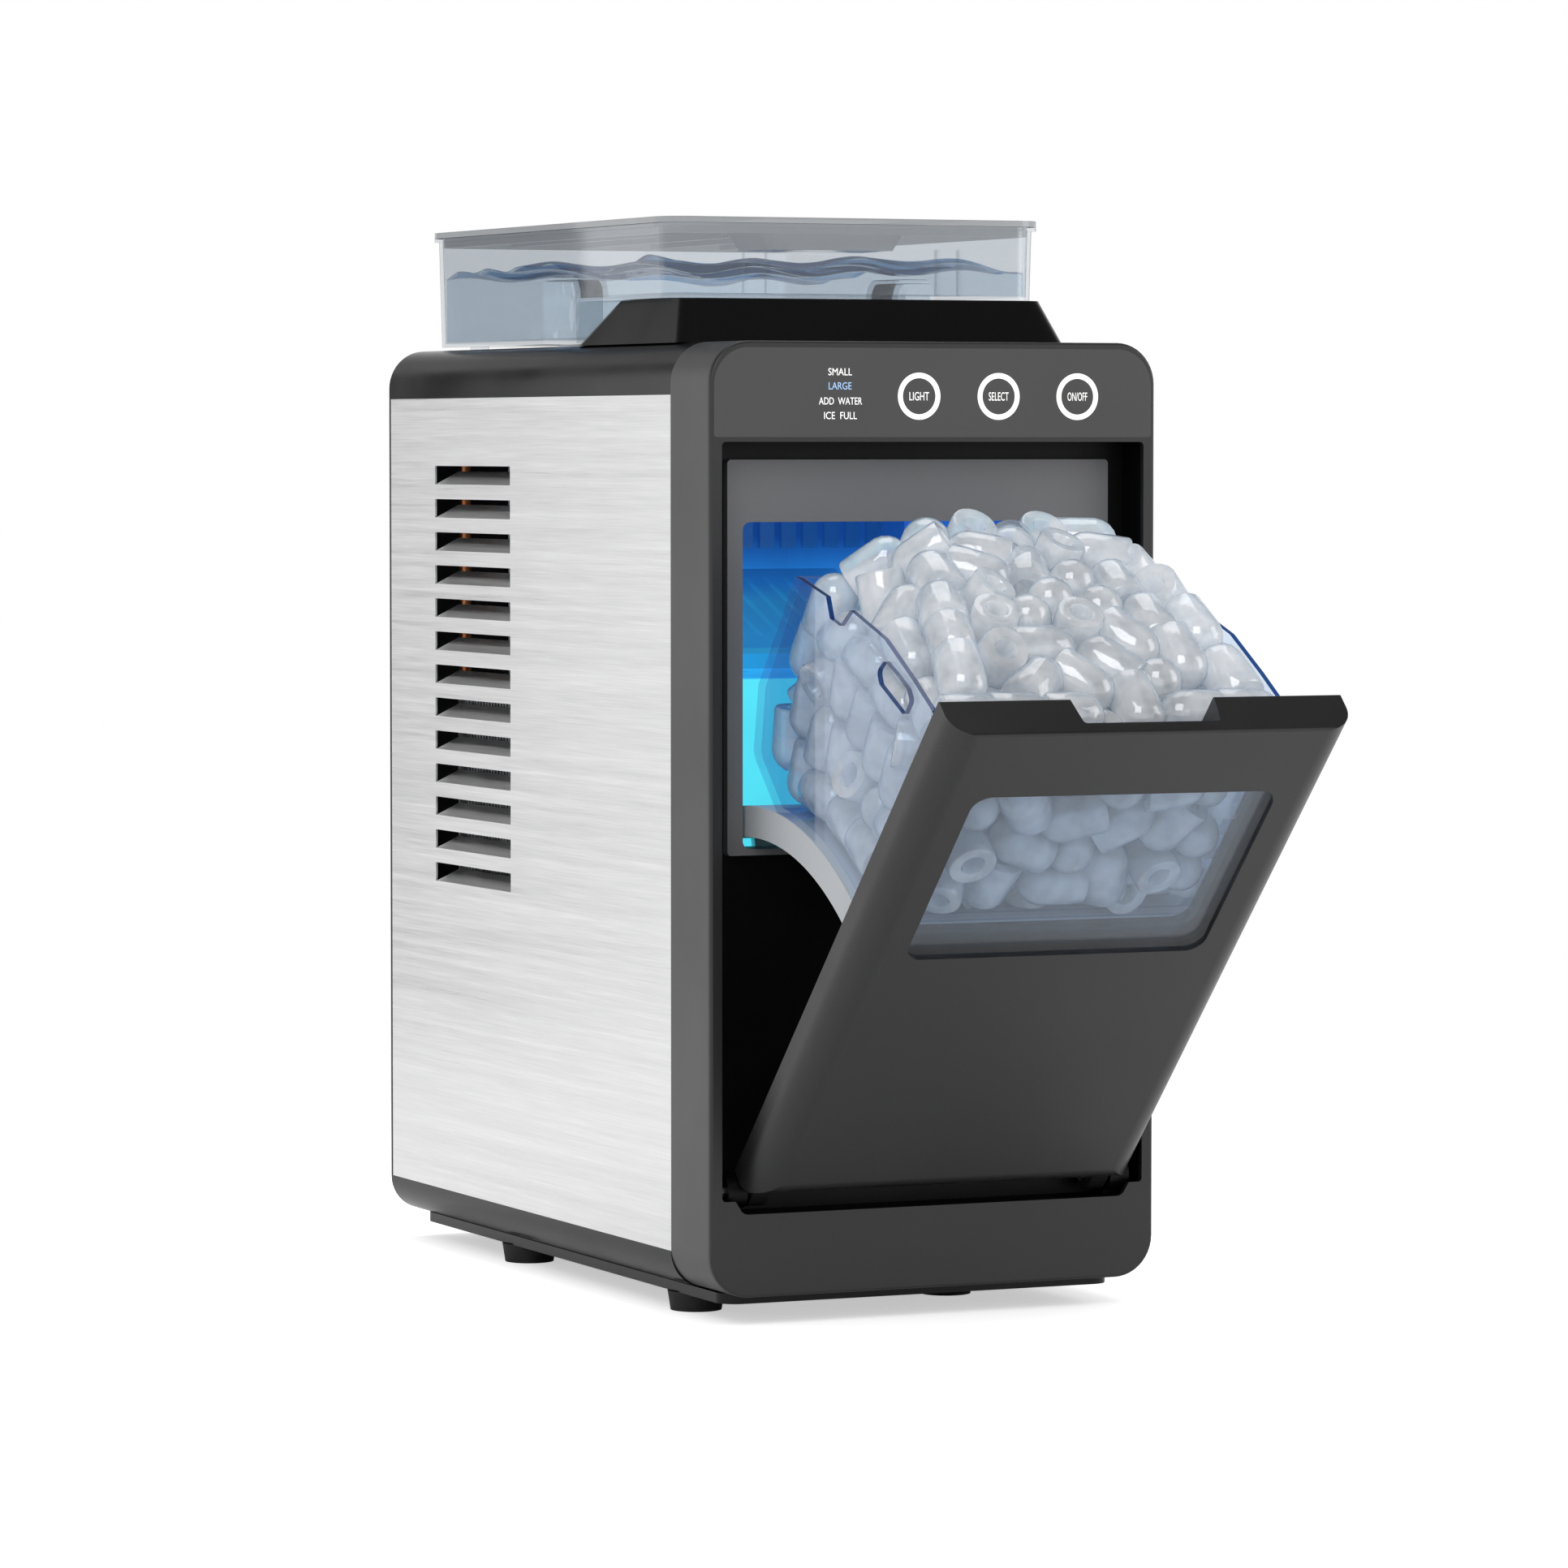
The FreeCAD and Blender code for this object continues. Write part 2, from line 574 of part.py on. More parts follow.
def landing_panel():
    half = OPEN_W / 2
    plate = slab(-LAND_W / 2, LAND_W / 2, OPEN_Z0 - LIP, LAND_TOP, 2.0, "xz", LAND_FACE,
                 RECESS_DEPTH)
    deep = RECESS_DEPTH + SLEEVE_DEPTH
    sleeve = box(-half - SLEEVE_T, half + SLEEVE_T, RECESS_DEPTH, deep, OPEN_Z0 - SLEEVE_T,
                 OPEN_Z0 + OPEN_H + SLEEVE_T)
    hole = slab(-half, half, OPEN_Z0, OPEN_Z0 + OPEN_H, OPEN_R, "xz", LAND_FACE, deep)
    pockets = [rod((0, 1, 0), (x, LAND_FACE + MAGNET_SKIN, MAGNET_Z), MAGNET_R + RUN, MAGNET_T)
               for x in (-MAGNET_X, MAGNET_X)]
    return plate.fuse(sleeve).cut([hole] + pockets).removeSplitter()


MAGNET_Z = OPEN_Z0 + OPEN_H + 5.4


def magnets():
    return [rod((0, 1, 0), (x, LAND_FACE + MAGNET_SKIN, MAGNET_Z), MAGNET_R, MAGNET_T)
            for x in (-MAGNET_X, MAGNET_X)]


def control_board():
    """Board on four posts behind the touch keys, with its chips and a plug."""
    z0, z1 = RECESS_TOP + SHELL + 4, BODY_TOP - SHELL - 8
    board = box(-70, 98, 12, 13.6, z0, z1)
    y0 = PLATE_T + SHELL
    posts = [rod((0, 1, 0), (x, y0, z), 3, 12 - y0) for x in (-62, 90) for z in (z0 + 5, z1 - 5)]
    pads = [rod((0, 1, 0), (x, y0, z), RING_R - RING_W - 1, 12 - y0) for x, z in ring_centres()]
    chips = [box(x, x + w, 13.6, 13.6 + h, z0 + 8, z0 + 8 + d)
             for x, w, h, d in ((-40, 14, 2, 14), (0, 10, 3, 10), (40, 18, 7, 9))]
    return board.fuse(posts + pads + chips).removeSplitter()


# ---------------------------------------------------------------- door
def door_blank(grow, z0, z1, front, rear):
    """The door's outside form; a negative grow gives the hollow inside it."""
    half = DOOR_W / 2 + grow
    plan = prism([(-half, rear), (half, rear), (half, front, DOOR_R + grow),
                  (-half, front, DOOR_R + grow)], "xy", z0, z1)
    side = prism([(rear, z0), (rear, z1, 1.0), (front, z1, 1.5), (front, z0, DOOR_R + grow)],
                 "yz", -half, half)
    return plan.common(side)


def door_shell():
    shell = door_blank(0, DOOR_Z0, DOOR_Z1, DOOR_FRONT, DOOR_IN)
    hollow = door_blank(-SHELL, DOOR_Z0 + SHELL, DOOR_Z1 - SHELL, DOOR_FRONT + SHELL,
                        DOOR_IN + SHELL)
    nest = box(-NOTCH_W / 2 - 4, NOTCH_W / 2 + 4, DOOR_FRONT + 1, DOOR_IN,
               DOOR_Z1 - NOTCH_DEEP - SHELL, DOOR_Z1 - 1)
    notch = prism([(-NOTCH_W / 2, DOOR_IN), (NOTCH_W / 2, DOOR_IN),
                   (NOTCH_W / 2 - 2, DOOR_IN - NOTCH_T, 2), (-NOTCH_W / 2 + 2, DOOR_IN - NOTCH_T, 2)],
                  "xy", DOOR_Z1 - NOTCH_DEEP, DOOR_Z1)
    win = window_cut(0, DOOR_FRONT - 1, DOOR_FRONT + SHELL + 1)
    ledge = window_cut(2.5, DOOR_FRONT + SHELL - 1, DOOR_FRONT + SHELL)
    frame = window_cut(6, DOOR_FRONT + SHELL, DOOR_IN - PANEL_T).cut(
        window_cut(3.5, DOOR_FRONT + SHELL, DOOR_IN - PANEL_T))
    lugs = []
    for side in (-1, 1):
        x0 = LUG_X if side > 0 else -LUG_X - LUG_T
        web = box(x0, x0 + LUG_T, PIVOT_Y - LUG_R, DOOR_IN, PIVOT_Z, DOOR_Z0 + SHELL)
        eye = rod((1, 0, 0), (x0, PIVOT_Y, PIVOT_Z), LUG_R, LUG_T)
        keepin = box(x0, x0 + LUG_T, DOOR_FRONT, DOOR_IN, 0, DOOR_Z0 + SHELL)
        lug = web.fuse(eye).common(keepin)
        lugs.append(lug.cut(rod((1, 0, 0), (x0, PIVOT_Y, PIVOT_Z), PIN_R + RUN, LUG_T)))
    body = shell.cut(hollow).fuse([nest, frame] + lugs).cut([notch, win, ledge])
    return opened(body.removeSplitter())


PANEL_T = 2.5


def window_cut(grow, low, high):
    half = WIN_W / 2 + grow
    return slab(-half, half, WIN_Z0 - grow, WIN_Z0 + WIN_H + grow, WIN_R + grow, "xz", low, high)


def door_inner_panel():
    half = DOOR_W / 2 - SHELL - FLAT
    plate = slab(-half, half, DOOR_Z0 + SHELL + FLAT, DOOR_Z1 - SHELL - FLAT, 1.0, "xz",
                 DOOR_IN - PANEL_T, DOOR_IN)
    away = box(-NOTCH_W / 2 - 4 - FLAT, NOTCH_W / 2 + 4 + FLAT, DOOR_IN - PANEL_T, DOOR_IN,
               DOOR_Z1 - NOTCH_DEEP - SHELL - FLAT, DOOR_Z1)
    holes = [window_cut(0, DOOR_IN - PANEL_T, DOOR_IN), away]
    for x in (-MAGNET_X, MAGNET_X):
        holes.append(rod((0, 1, 0), (x, DOOR_IN - 1.5, MAGNET_Z), MAGNET_R + RUN, 1.5))
    ribs = [box(-half + 6, half - 6, DOOR_IN - PANEL_T - 8, DOOR_IN - PANEL_T, z, z + 2)
            for z in (110, 150, 190)]
    return opened(plate.cut(holes).fuse(ribs).removeSplitter())


def strike_plates():
    return [opened(rod((0, 1, 0), (x, DOOR_IN - 1.5, MAGNET_Z), MAGNET_R, 1.5))
            for x in (-MAGNET_X, MAGNET_X)]


def door_window():
    face = DOOR_FRONT + SHELL - 1
    pane = window_cut(2.5 - FLAT, face, face + PANE_T)
    return opened(pane)


def hinge_pins():
    x0 = LUG_X - 2
    length = LUG_T + KNUCKLE_GAP + KNUCKLE_T + 4
    made = []
    for side in (-1, 1):
        start = x0 if side > 0 else -x0 - length
        made.append(rod((1, 0, 0), (start, PIVOT_Y, PIVOT_Z), PIN_R, length))
    return made


def hinge_brackets():
    made = []
    for side in (-1, 1):
        x0 = LUG_X + LUG_T + KNUCKLE_GAP
        x0 = x0 if side > 0 else -x0 - KNUCKLE_T
        eye = rod((1, 0, 0), (x0, PIVOT_Y, PIVOT_Z), LUG_R + 0.8, KNUCKLE_T)
        web = box(x0, x0 + KNUCKLE_T, PIVOT_Y, RECESS_DEPTH, RECESS_FLOOR, PIVOT_Z + LUG_R)
        bore = rod((1, 0, 0), (x0, PIVOT_Y, PIVOT_Z), PIN_R + 0.02, KNUCKLE_T)
        made.append(eye.fuse(web).cut(bore).removeSplitter())
    return made


def bin_cradle():
    half = CRADLE_W / 2
    r0, r1 = CRADLE_R - CRADLE_T, CRADLE_R
    skin = sector(r1 - CRADLE_SKIN, r1, 0, CRADLE_END, -half, half)
    cheeks = [sector(r0, r1, 0, CRADLE_END, -half, -half + CRADLE_SKIN),
              sector(r0, r1, 0, CRADLE_END, half - CRADLE_SKIN, half)]
    step = CRADLE_END / 4
    ribs = [sector(r0 + 1, r1 - 1, i * step - 0.8, i * step, -half + 1, half - 1)
            for i in range(1, 5)]
    hooks = []
    for x in (-HOOK_X, HOOK_X):
        hooks.append(sector(r0 - HOOK, r1 - 1, CRADLE_END - 1.4, CRADLE_END, x - 6, x + 6))
    face = box(-half, half, DOOR_IN, DOOR_IN + 2.5, PIVOT_Z + r0, PIVOT_Z + r1 - 2)
    body = skin.fuse(cheeks + ribs + hooks).common(
        box(-half, half, DOOR_IN, BODY_DEPTH, 0, BODY_TOP))
    return opened(body.fuse(face).removeSplitter())


HOOK_X = 70.0


def window_bay(inset, rear):
    """The bulge of the bin's front that fills the door's window hole up to the pane."""
    front = DOOR_FRONT + SHELL - 1 + PANE_T + BAY_FIT + inset
    sill = PIVOT_Z + CRADLE_R + 1 + inset
    bay = window_cut(-BAY_FIT - inset, front, rear)
    return bay.common(box(-HALF, HALF, DOOR_FRONT, rear, sill, BODY_TOP))


def ice_bin():
    half = CRADLE_W / 2 - BIN_SIDE
    r_out = CRADLE_R + BIN_FIT
    front = DOOR_IN

    def on_arc(y, radius):
        return PIVOT_Z + math.sqrt(radius ** 2 - (y - PIVOT_Y) ** 2)

    def body(inset, top_points, lo, hi):
        radius = r_out + inset
        floor = BIN_FLOOR_Z + inset
        y0 = front + inset
        y_meet = PIVOT_Y + math.sqrt(radius ** 2 - (floor - PIVOT_Z) ** 2)
        mid = (y0 + y_meet) / 2
        rear = [(BIN_REAR[2][0] - inset * 0.4, floor),
                (BIN_REAR[1][0] - inset * 1.0, BIN_REAR[1][1] + inset * 0.8),
                (BIN_REAR[0][0] - inset * 1.05, BIN_REAR[0][1] + inset * 0.5)]
        pts = rear + top_points
        edges = [Part.Arc(V(lo, y0, on_arc(y0, radius)), V(lo, mid, on_arc(mid, radius)),
                          V(lo, y_meet, floor)).toShape()]
        chain = [(y_meet, floor)] + pts + [(y0, on_arc(y0, radius))]
        for a, b in zip(chain, chain[1:]):
            edges.append(Part.makeLine(V(lo, a[0], a[1]), V(lo, b[0], b[1])))
        return Part.Face(Part.Wire(edges)).extrude(V(hi - lo, 0, 0))

    top = list(reversed(BIN_TOP)) + [(front, BIN_TOP[0][1] + 0.5)]
    outer = body(0, top, -half, half)
    lift = BODY_TOP
    open_top = [(BIN_TOP[-1][0] - BIN_WALL * 1.05, BIN_TOP[-1][1]),
                (BIN_TOP[-1][0] - BIN_WALL * 1.05, lift), (front + BIN_WALL, lift)]
    inner = body(BIN_WALL, open_top, -half + BIN_WALL, half - BIN_WALL)
    slot = prism([(y, z, 3.0) for y, z in BIN_SLOT], "yz", -half - 1, half + 1)
    outer = outer.fuse(window_bay(0, DOOR_IN + 1))
    hollows = [inner, slot, window_bay(BIN_WALL, DOOR_IN + BIN_WALL + 1)]
    return opened(outer.cut(hollows).removeSplitter())


# ---------------------------------------------------------------- water tank
def tank_rect(inset, y0, y1, z, radius=None):
    half = TANK_W / 2 - inset
    r = max(1.0, (TANK_R if radius is None else radius) - inset)
    return outline([(-half, y0 + inset, r), (half, y0 + inset, r), (half, y1 - inset, r),
                    (-half, y1 - inset, r)], "xy", z)


def tank_block(inset, floor_deep, floor_shallow, top):
    """Deep end over the rear, shallow end over the hump, both with a slight draft."""
    def draft(z):
        return TANK_DRAFT * (TANK_TOP - z) / (TANK_TOP - TANK_Z0)
    whole = Part.makeLoft([tank_rect(inset + draft(floor_deep), TANK_Y0, TANK_Y1, floor_deep),
                           tank_rect(inset + draft(top), TANK_Y0, TANK_Y1, top)], True)
    step = box(-BODY_W, BODY_W, 0, TANK_STEP_Y + inset, 0, floor_shallow)
    return whole.cut(step)


def grip_pocket(grow):
    made = []
    half = TANK_W / 2
    for side in (-1, 1):
        x0, x1 = (half - GRIP_IN - grow, half + 5) if side > 0 else (-half - 5, -half + GRIP_IN + grow)
        made.append(prism([(GRIP_Y0 - grow, 0), (GRIP_Y0 + GRIP_L + grow, 0),
                           (GRIP_Y0 + GRIP_L + grow, TANK_Z0 + GRIP_H + grow, 8 + grow),
                           (GRIP_Y0 - grow, TANK_Z0 + GRIP_H + grow, 8 + grow)], "yz", x0, x1))
    return made


def tank_body():
    outer = tank_block(0, TANK_Z0, SHALLOW_Z, TANK_TOP)
    inner = tank_block(TANK_WALL, TANK_Z0 + TANK_WALL, SHALLOW_Z + TANK_WALL, TANK_TOP + 1)
    inner = inner.cut(grip_pocket(TANK_WALL))
    rim = Part.Face(tank_rect(-RIM_OUT, TANK_Y0, TANK_Y1, RIM_Z0)).extrude(V(0, 0, RIM_H))
    rim = rim.cut(Part.Face(tank_rect(TANK_WALL / 2, TANK_Y0, TANK_Y1, RIM_Z0)).extrude(V(0, 0, RIM_H)))
    spout = rod((0, 0, 1), (0, VALVE_Y, BODY_TOP - 6), SPOUT_R, TANK_Z0 - BODY_TOP + 6.5)
    bore = rod((0, 0, 1), (0, VALVE_Y, BODY_TOP - 6), SPOUT_R - 4, 10)
    pads = [rod((0, 0, 1), (x, y, BODY_TOP), 5, PAD_H + 0.5)
            for x in (-80, 80) for y in (TANK_STEP_Y + 60, TANK_Y1 - 16)]
    ribs = [box(x - 0.8, x + 0.8, TANK_Y0 + 1, TANK_Y0 + 6, SHALLOW_Z + 1, TANK_TOP - 12)
            for x in (-58, -46, 46, 58)]
    body = outer.cut(grip_pocket(0)).cut(inner).fuse([rim, spout] + pads + ribs)
    return body.cut(bore).removeSplitter()


def tank_lid():
    z0 = TANK_TOP
    plate = Part.Face(tank_rect(-RIM_OUT, TANK_Y0, TANK_Y1, z0)).extrude(V(0, 0, LID_T))
    skirt_out = Part.Face(tank_rect(TANK_WALL + SEAT, TANK_Y0, TANK_Y1, z0 - 5)).extrude(V(0, 0, 5.5))
    skirt_in = Part.Face(tank_rect(TANK_WALL + SEAT + 1.6, TANK_Y0, TANK_Y1, z0 - 5)).extrude(V(0, 0, 5))
    scoop = Part.makeLoft([outline([(-34, 118, 4), (34, 118, 4), (34, 158, 4), (-34, 158, 4)], "xy",
                                   z0 - 12),
                           outline([(-42, 112, 6), (42, 112, 6), (42, 166, 6), (-42, 166, 6)], "xy",
                                   z0 + LID_T)], True)
    hollow = Part.makeLoft([outline([(-32, 120, 3), (32, 120, 3), (32, 156, 3), (-32, 156, 3)], "xy",
                                    z0 - 10),
                            outline([(-40, 114, 5), (40, 114, 5), (40, 164, 5), (-40, 164, 5)], "xy",
                                    z0 + LID_T + 0.01)], True)
    ribs = [box(x - 0.8, x + 0.8, 200, TANK_Y1 - 12, z0 - 4, z0) for x in (-60, -20, 20, 60)]
    body = plate.fuse([skirt_out.cut(skirt_in), scoop] + ribs).cut(hollow)
    return body.removeSplitter()


def tank_valve():
    """A plunger that closes the spout from above."""
    seat_z = TANK_Z0 + TANK_WALL
    disc = rod((0, 0, 1), (0, VALVE_Y, seat_z), SPOUT_R, 2)
    stem = rod((0, 0, 1), (0, VALVE_Y, BODY_TOP - 6.5), STEM_R, seat_z - BODY_TOP + 6.5)
    post = rod((0, 0, 1), (0, VALVE_Y, seat_z + 2), STEM_R, 14)
    return disc.fuse([stem, post]).removeSplitter()


def valve_cage():
    """The bridge over the plunger that its spring pushes against."""
    seat_z = TANK_Z0 + TANK_WALL
    legs = [box(x - 1.5, x + 1.5, VALVE_Y - 4, VALVE_Y + 4, seat_z, seat_z + 16) for x in (-14, 14)]
    bridge = box(-15.5, 15.5, VALVE_Y - 4, VALVE_Y + 4, seat_z + 14, seat_z + 16)
    hole = rod((0, 0, 1), (0, VALVE_Y, seat_z + 13), STEM_R + SEAT, 4)
    return bridge.fuse(legs).cut(hole).removeSplitter()


def valve_spring():
    seat_z = TANK_Z0 + TANK_WALL
    helix = Part.makeHelix(2.8, 10.4, STEM_R + 1.6)
    helix.translate(V(0, VALVE_Y, seat_z + 2.8))
    circle = Part.Wire(Part.makeCircle(0.5, V(STEM_R + 1.6, VALVE_Y, seat_z + 2.8), V(0, 1, 0)))
    return Part.Wire(helix).makePipeShell([circle], True, True)


# ---------------------------------------------------------------- ice works
def chamber_liner():
    half = LINER_W / 2
    back = RECESS_DEPTH + SHELL
    room = box(-half, half, back, LINER_REAR + LINER_T, LINER_Z0 - LINER_T, LINER_TOP + LINER_T)
    bay = box(-BAY_W / 2 - LINER_T, BAY_W / 2 + LINER_T, BAY_FRONT, BAY_REAR + LINER_T,
              BAY_Z0 - LINER_T, BAY_TOP + LINER_T)
    room_in = box(-half + LINER_T, half - LINER_T, back, LINER_REAR, LINER_Z0, LINER_TOP)
    bay_in = box(-BAY_W / 2, BAY_W / 2, BAY_FRONT + LINER_T, BAY_REAR, BAY_Z0, BAY_TOP)
    mouth = box(-BAY_W / 2, BAY_W / 2, BAY_FRONT - 1, LINER_REAR + LINER_T + 1, BAY_Z0 + 12,
                LINER_TOP)
    return_hole = rod((0, 0, 1), (30, 300, BAY_Z0 - LINER_T), 6, LINER_T)
    axle = rod((1, 0, 0), (BAY_W / 2, TRAY_Y, TRAY_Z), AXLE_R + SEAT, LINER_T)
    pipes = [rod((0, 0, 1), (x, EVAP_Y, BAY_TOP), PIPE_R + SEAT, LINER_T) for x in PIPE_XS]
    lid_slot = rod((0, 0, 1), (0, VALVE_Y + 7, BAY_TOP), 4 + SEAT, LINER_T)
    return room.fuse(bay).cut([room_in, bay_in, mouth, return_hole, axle, lid_slot] + pipes)


EVAP_Y = 242.0
PIPE_R = 3.0
PIPE_XS = (-40.0, 40.0)


def chute():
    """Slotted slide that lets water through and sends ice forward into the bin."""
    half = BAY_W / 2
    slide = prism([(BAY_FRONT + 0.2, 318), (BAY_FRONT + 3, 315), (BAY_REAR - 60, 353),
                   (BAY_REAR - 60, 356)], "yz", -half, half)
    slots = [box(x - 1.5, x + 1.5, BAY_FRONT + 14, BAY_REAR - 72, 310, 360)
             for x in range(-66, 67, 11)]
    return slide.cut(slots)


def evaporator():
    plate = box(-64, 64, EVAP_Y - 22, EVAP_Y + 22, EVAP_Z, EVAP_Z + EVAP_T)
    made = []
    for count, y in ((5, EVAP_Y - 10), (4, EVAP_Y + 10)):
        for i in range(count):
            x = (i - (count - 1) / 2) * FINGER_PITCH
            stub = rod((0, 0, 1), (x, y, EVAP_Z - FINGER_L + FINGER_R), FINGER_R, FINGER_L - FINGER_R)
            made.append(stub.fuse(Part.makeSphere(FINGER_R, V(x, y, EVAP_Z - FINGER_L + FINGER_R))))
    hangers = [box(x - 6, x + 6, EVAP_Y - 5, EVAP_Y + 5, EVAP_Z + EVAP_T, BAY_TOP)
               for x in (-15, 15)]
    return plate.fuse(made + hangers).removeSplitter()


def water_tray():
    """Trough hung from its rear upper edge; the freezing fingers dip into it."""
    half = TRAY_W / 2
    y1 = TRAY_Y + 4
    y0 = y1 - TRAY_L
    z1 = TRAY_Z
    z0 = z1 - TRAY_H
    body = prism([(y0, z0, 6), (y1, z0, 6), (y1, z1), (y0, z1)], "yz", -half, half)
    inner = prism([(y0 + TRAY_WALL, z0 + TRAY_WALL, 4), (y1 - TRAY_WALL, z0 + TRAY_WALL, 4),
                   (y1 - TRAY_WALL, z1 + 1), (y0 + TRAY_WALL, z1 + 1)], "yz",
                  -half + TRAY_WALL, half - TRAY_WALL)
    bosses = []
    for side in (-1, 1):
        x0 = half - TRAY_WALL if side > 0 else -half
        eye = rod((1, 0, 0), (x0, TRAY_Y, TRAY_Z), AXLE_R + 3, TRAY_WALL)
        bosses.append(eye)
    stub = [rod((1, 0, 0), (-BAY_W / 2 + SEAT, TRAY_Y, TRAY_Z), AXLE_R, BAY_W / 2 - half),
            rod((1, 0, 0), (half - 0.5, TRAY_Y, TRAY_Z), AXLE_R, BAY_W / 2 - half + LINER_T + 2)]
    return body.cut(inner).fuse(bosses + stub).removeSplitter()


def tray_motor():
    """Gear motor on the bay's right wall; its socket takes the tray axle."""
    x0 = BAY_W / 2 + LINER_T
    case = box(x0, x0 + 22, TRAY_Y - 18, TRAY_Y + 18, TRAY_Z - 22, TRAY_Z + 14)
    can = rod((1, 0, 0), (x0 + 10, TRAY_Y, TRAY_Z - 34), 11, 12)
    neck = box(x0 + 10, x0 + 22, TRAY_Y - 6, TRAY_Y + 6, TRAY_Z - 34, TRAY_Z - 20)
    socket = rod((1, 0, 0), (x0, TRAY_Y, TRAY_Z), AXLE_R + SEAT, 4)
    return case.fuse([can, neck]).cut(socket).removeSplitter()


def tray_bearing():
    """Cup on the bay's left wall for the tray's free axle end."""
    x0 = -BAY_W / 2
    pad = rod((1, 0, 0), (x0, TRAY_Y, TRAY_Z), AXLE_R + 4, 4)
    return pad.cut(rod((1, 0, 0), (x0, TRAY_Y, TRAY_Z), AXLE_R + RUN, 4))


def ice_rake():
    """Comb that sweeps fallen ice forward; it hangs from a rod across the bay."""
    half = BAY_W / 2 - 8
    bar = rod((1, 0, 0), (-BAY_W / 2 + 2, RAKE_Y, RAKE_Z), AXLE_R, BAY_W - 4)
    top = box(-half, half, RAKE_Y - 1.5, RAKE_Y + 1.5, RAKE_Z - 14, RAKE_Z)
    teeth = [box(x - 4, x + 4, RAKE_Y - 1.5, RAKE_Y + 1.5, RAKE_Z - RAKE_L, RAKE_Z - 13)
             for x in range(-66, 67, 12)]
    return bar.fuse([top] + teeth).removeSplitter()


def rake_bearings():
    made = []
    for x0 in (-BAY_W / 2, BAY_W / 2 - 5):
        pad = box(x0, x0 + 5, RAKE_Y - 7, RAKE_Y + 7, RAKE_Z - 7, BAY_TOP)
        made.append(pad.cut(rod((1, 0, 0), (x0, RAKE_Y, RAKE_Z), AXLE_R + RUN, 5)))
    return made


def led_lamp():
    z1 = LINER_TOP
    base = box(-24, 24, 62, 76, z1 - 2, z1)
    return base.fuse(box(-20, 20, 65, 73, z1 - 5, z1 - 2)).removeSplitter()


def ice_full_sensors():
    half = LINER_W / 2 - LINER_T
    return [box(x0, x0 + 4, 150, 164, 352, 362) for x0 in (-half, half - 4)]


def reservoir():
    x0, x1, y0, y1, z0, z1 = -30, 98, LINER_REAR + LINER_T + 2, 300, 196, BAY_Z0 - LINER_T
    outer = slab(x0, x1, y0, y1, 8, "xy", z0, z1)
    inner = slab(x0 + 2, x1 - 2, y0 + 2, y1 - 2, 6, "xy", z0 + 2, z1 - 2)
    fill = rod((0, 0, 1), (30, 300 - 14, z1 - 2), 6, 2)
    drain = rod((0, 0, 1), (DRAIN_X, 284, z0), HOSE_R - 1.5, 2)
    feed = rod((0, 0, 1), (PUMP_X, PUMP_Y, z0), 4, 2)
    return outer.cut([inner, fill, drain, feed])


HOSE_R = 4.0
PUMP_X, PUMP_Y = 20.0, 245.0


def water_pump():
    z1 = 196.0
    body = rod((0, 0, 1), (PUMP_X, PUMP_Y, z1 - 34), 17, 30)
    neck = rod((0, 0, 1), (PUMP_X, PUMP_Y, z1 - 4), 8, 4)
    bore = rod((0, 0, 1), (PUMP_X, PUMP_Y, z1 - 12), 4, 12)
    ears = box(PUMP_X - 24, PUMP_X + 24, PUMP_Y - 4, PUMP_Y + 4, z1 - 7, z1 - 4)
    posts = [box(x - 2, x + 2, PUMP_Y - 4, PUMP_Y + 4, z1 - 4, z1) for x in (PUMP_X - 22, PUMP_X + 22)]
    out = rod((1, 0, 0), (PUMP_X + 12, PUMP_Y, z1 - 24), 3.5, 14)
    return body.fuse([neck, ears, out] + posts).cut(bore).removeSplitter()


def pump_hose():
    """Water line from the pump up beside the bay to the tray's fill spout."""
    start = (PUMP_X + 26, PUMP_Y, 172)
    points = [start, (107, PUMP_Y, 172), (107, PUMP_Y, 412), (BAY_W / 2 + LINER_T, PUMP_Y, 412)]
    return tube(points, HOSE_R, 9)


def drain_hose():
    points = [(DRAIN_X, 284, 196), (DRAIN_X, 284, DRAIN_Z), (DRAIN_X, REAR_Y0 - 8, DRAIN_Z)]
    return tube(points, HOSE_R + 1, 14)


def drain_nozzle():
    y0 = REAR_Y0 - 8
    body = rod((0, 1, 0), (DRAIN_X, y0, DRAIN_Z), DRAIN_R, BODY_DEPTH - y0 + 6)
    flange = rod((0, 1, 0), (DRAIN_X, REAR_Y0 - 2, DRAIN_Z), DRAIN_R + 3, 2)
    bore = rod((0, 1, 0), (DRAIN_X, y0, DRAIN_Z), 4.5, BODY_DEPTH - y0 + 6)
    return body.fuse(flange).cut(bore).removeSplitter()


def drain_cap():
    y1 = BODY_DEPTH + 6
    plug = rod((0, 1, 0), (DRAIN_X, y1 - 6, DRAIN_Z), 4.5 - SEAT, 6)
    head = rod((0, 1, 0), (DRAIN_X, y1, DRAIN_Z), DRAIN_R + 2, 4)
    tab = box(DRAIN_X - 4, DRAIN_X + 4, y1, y1 + 4, DRAIN_Z - 18, DRAIN_Z)
    return plug.fuse([head, tab]).removeSplitter()


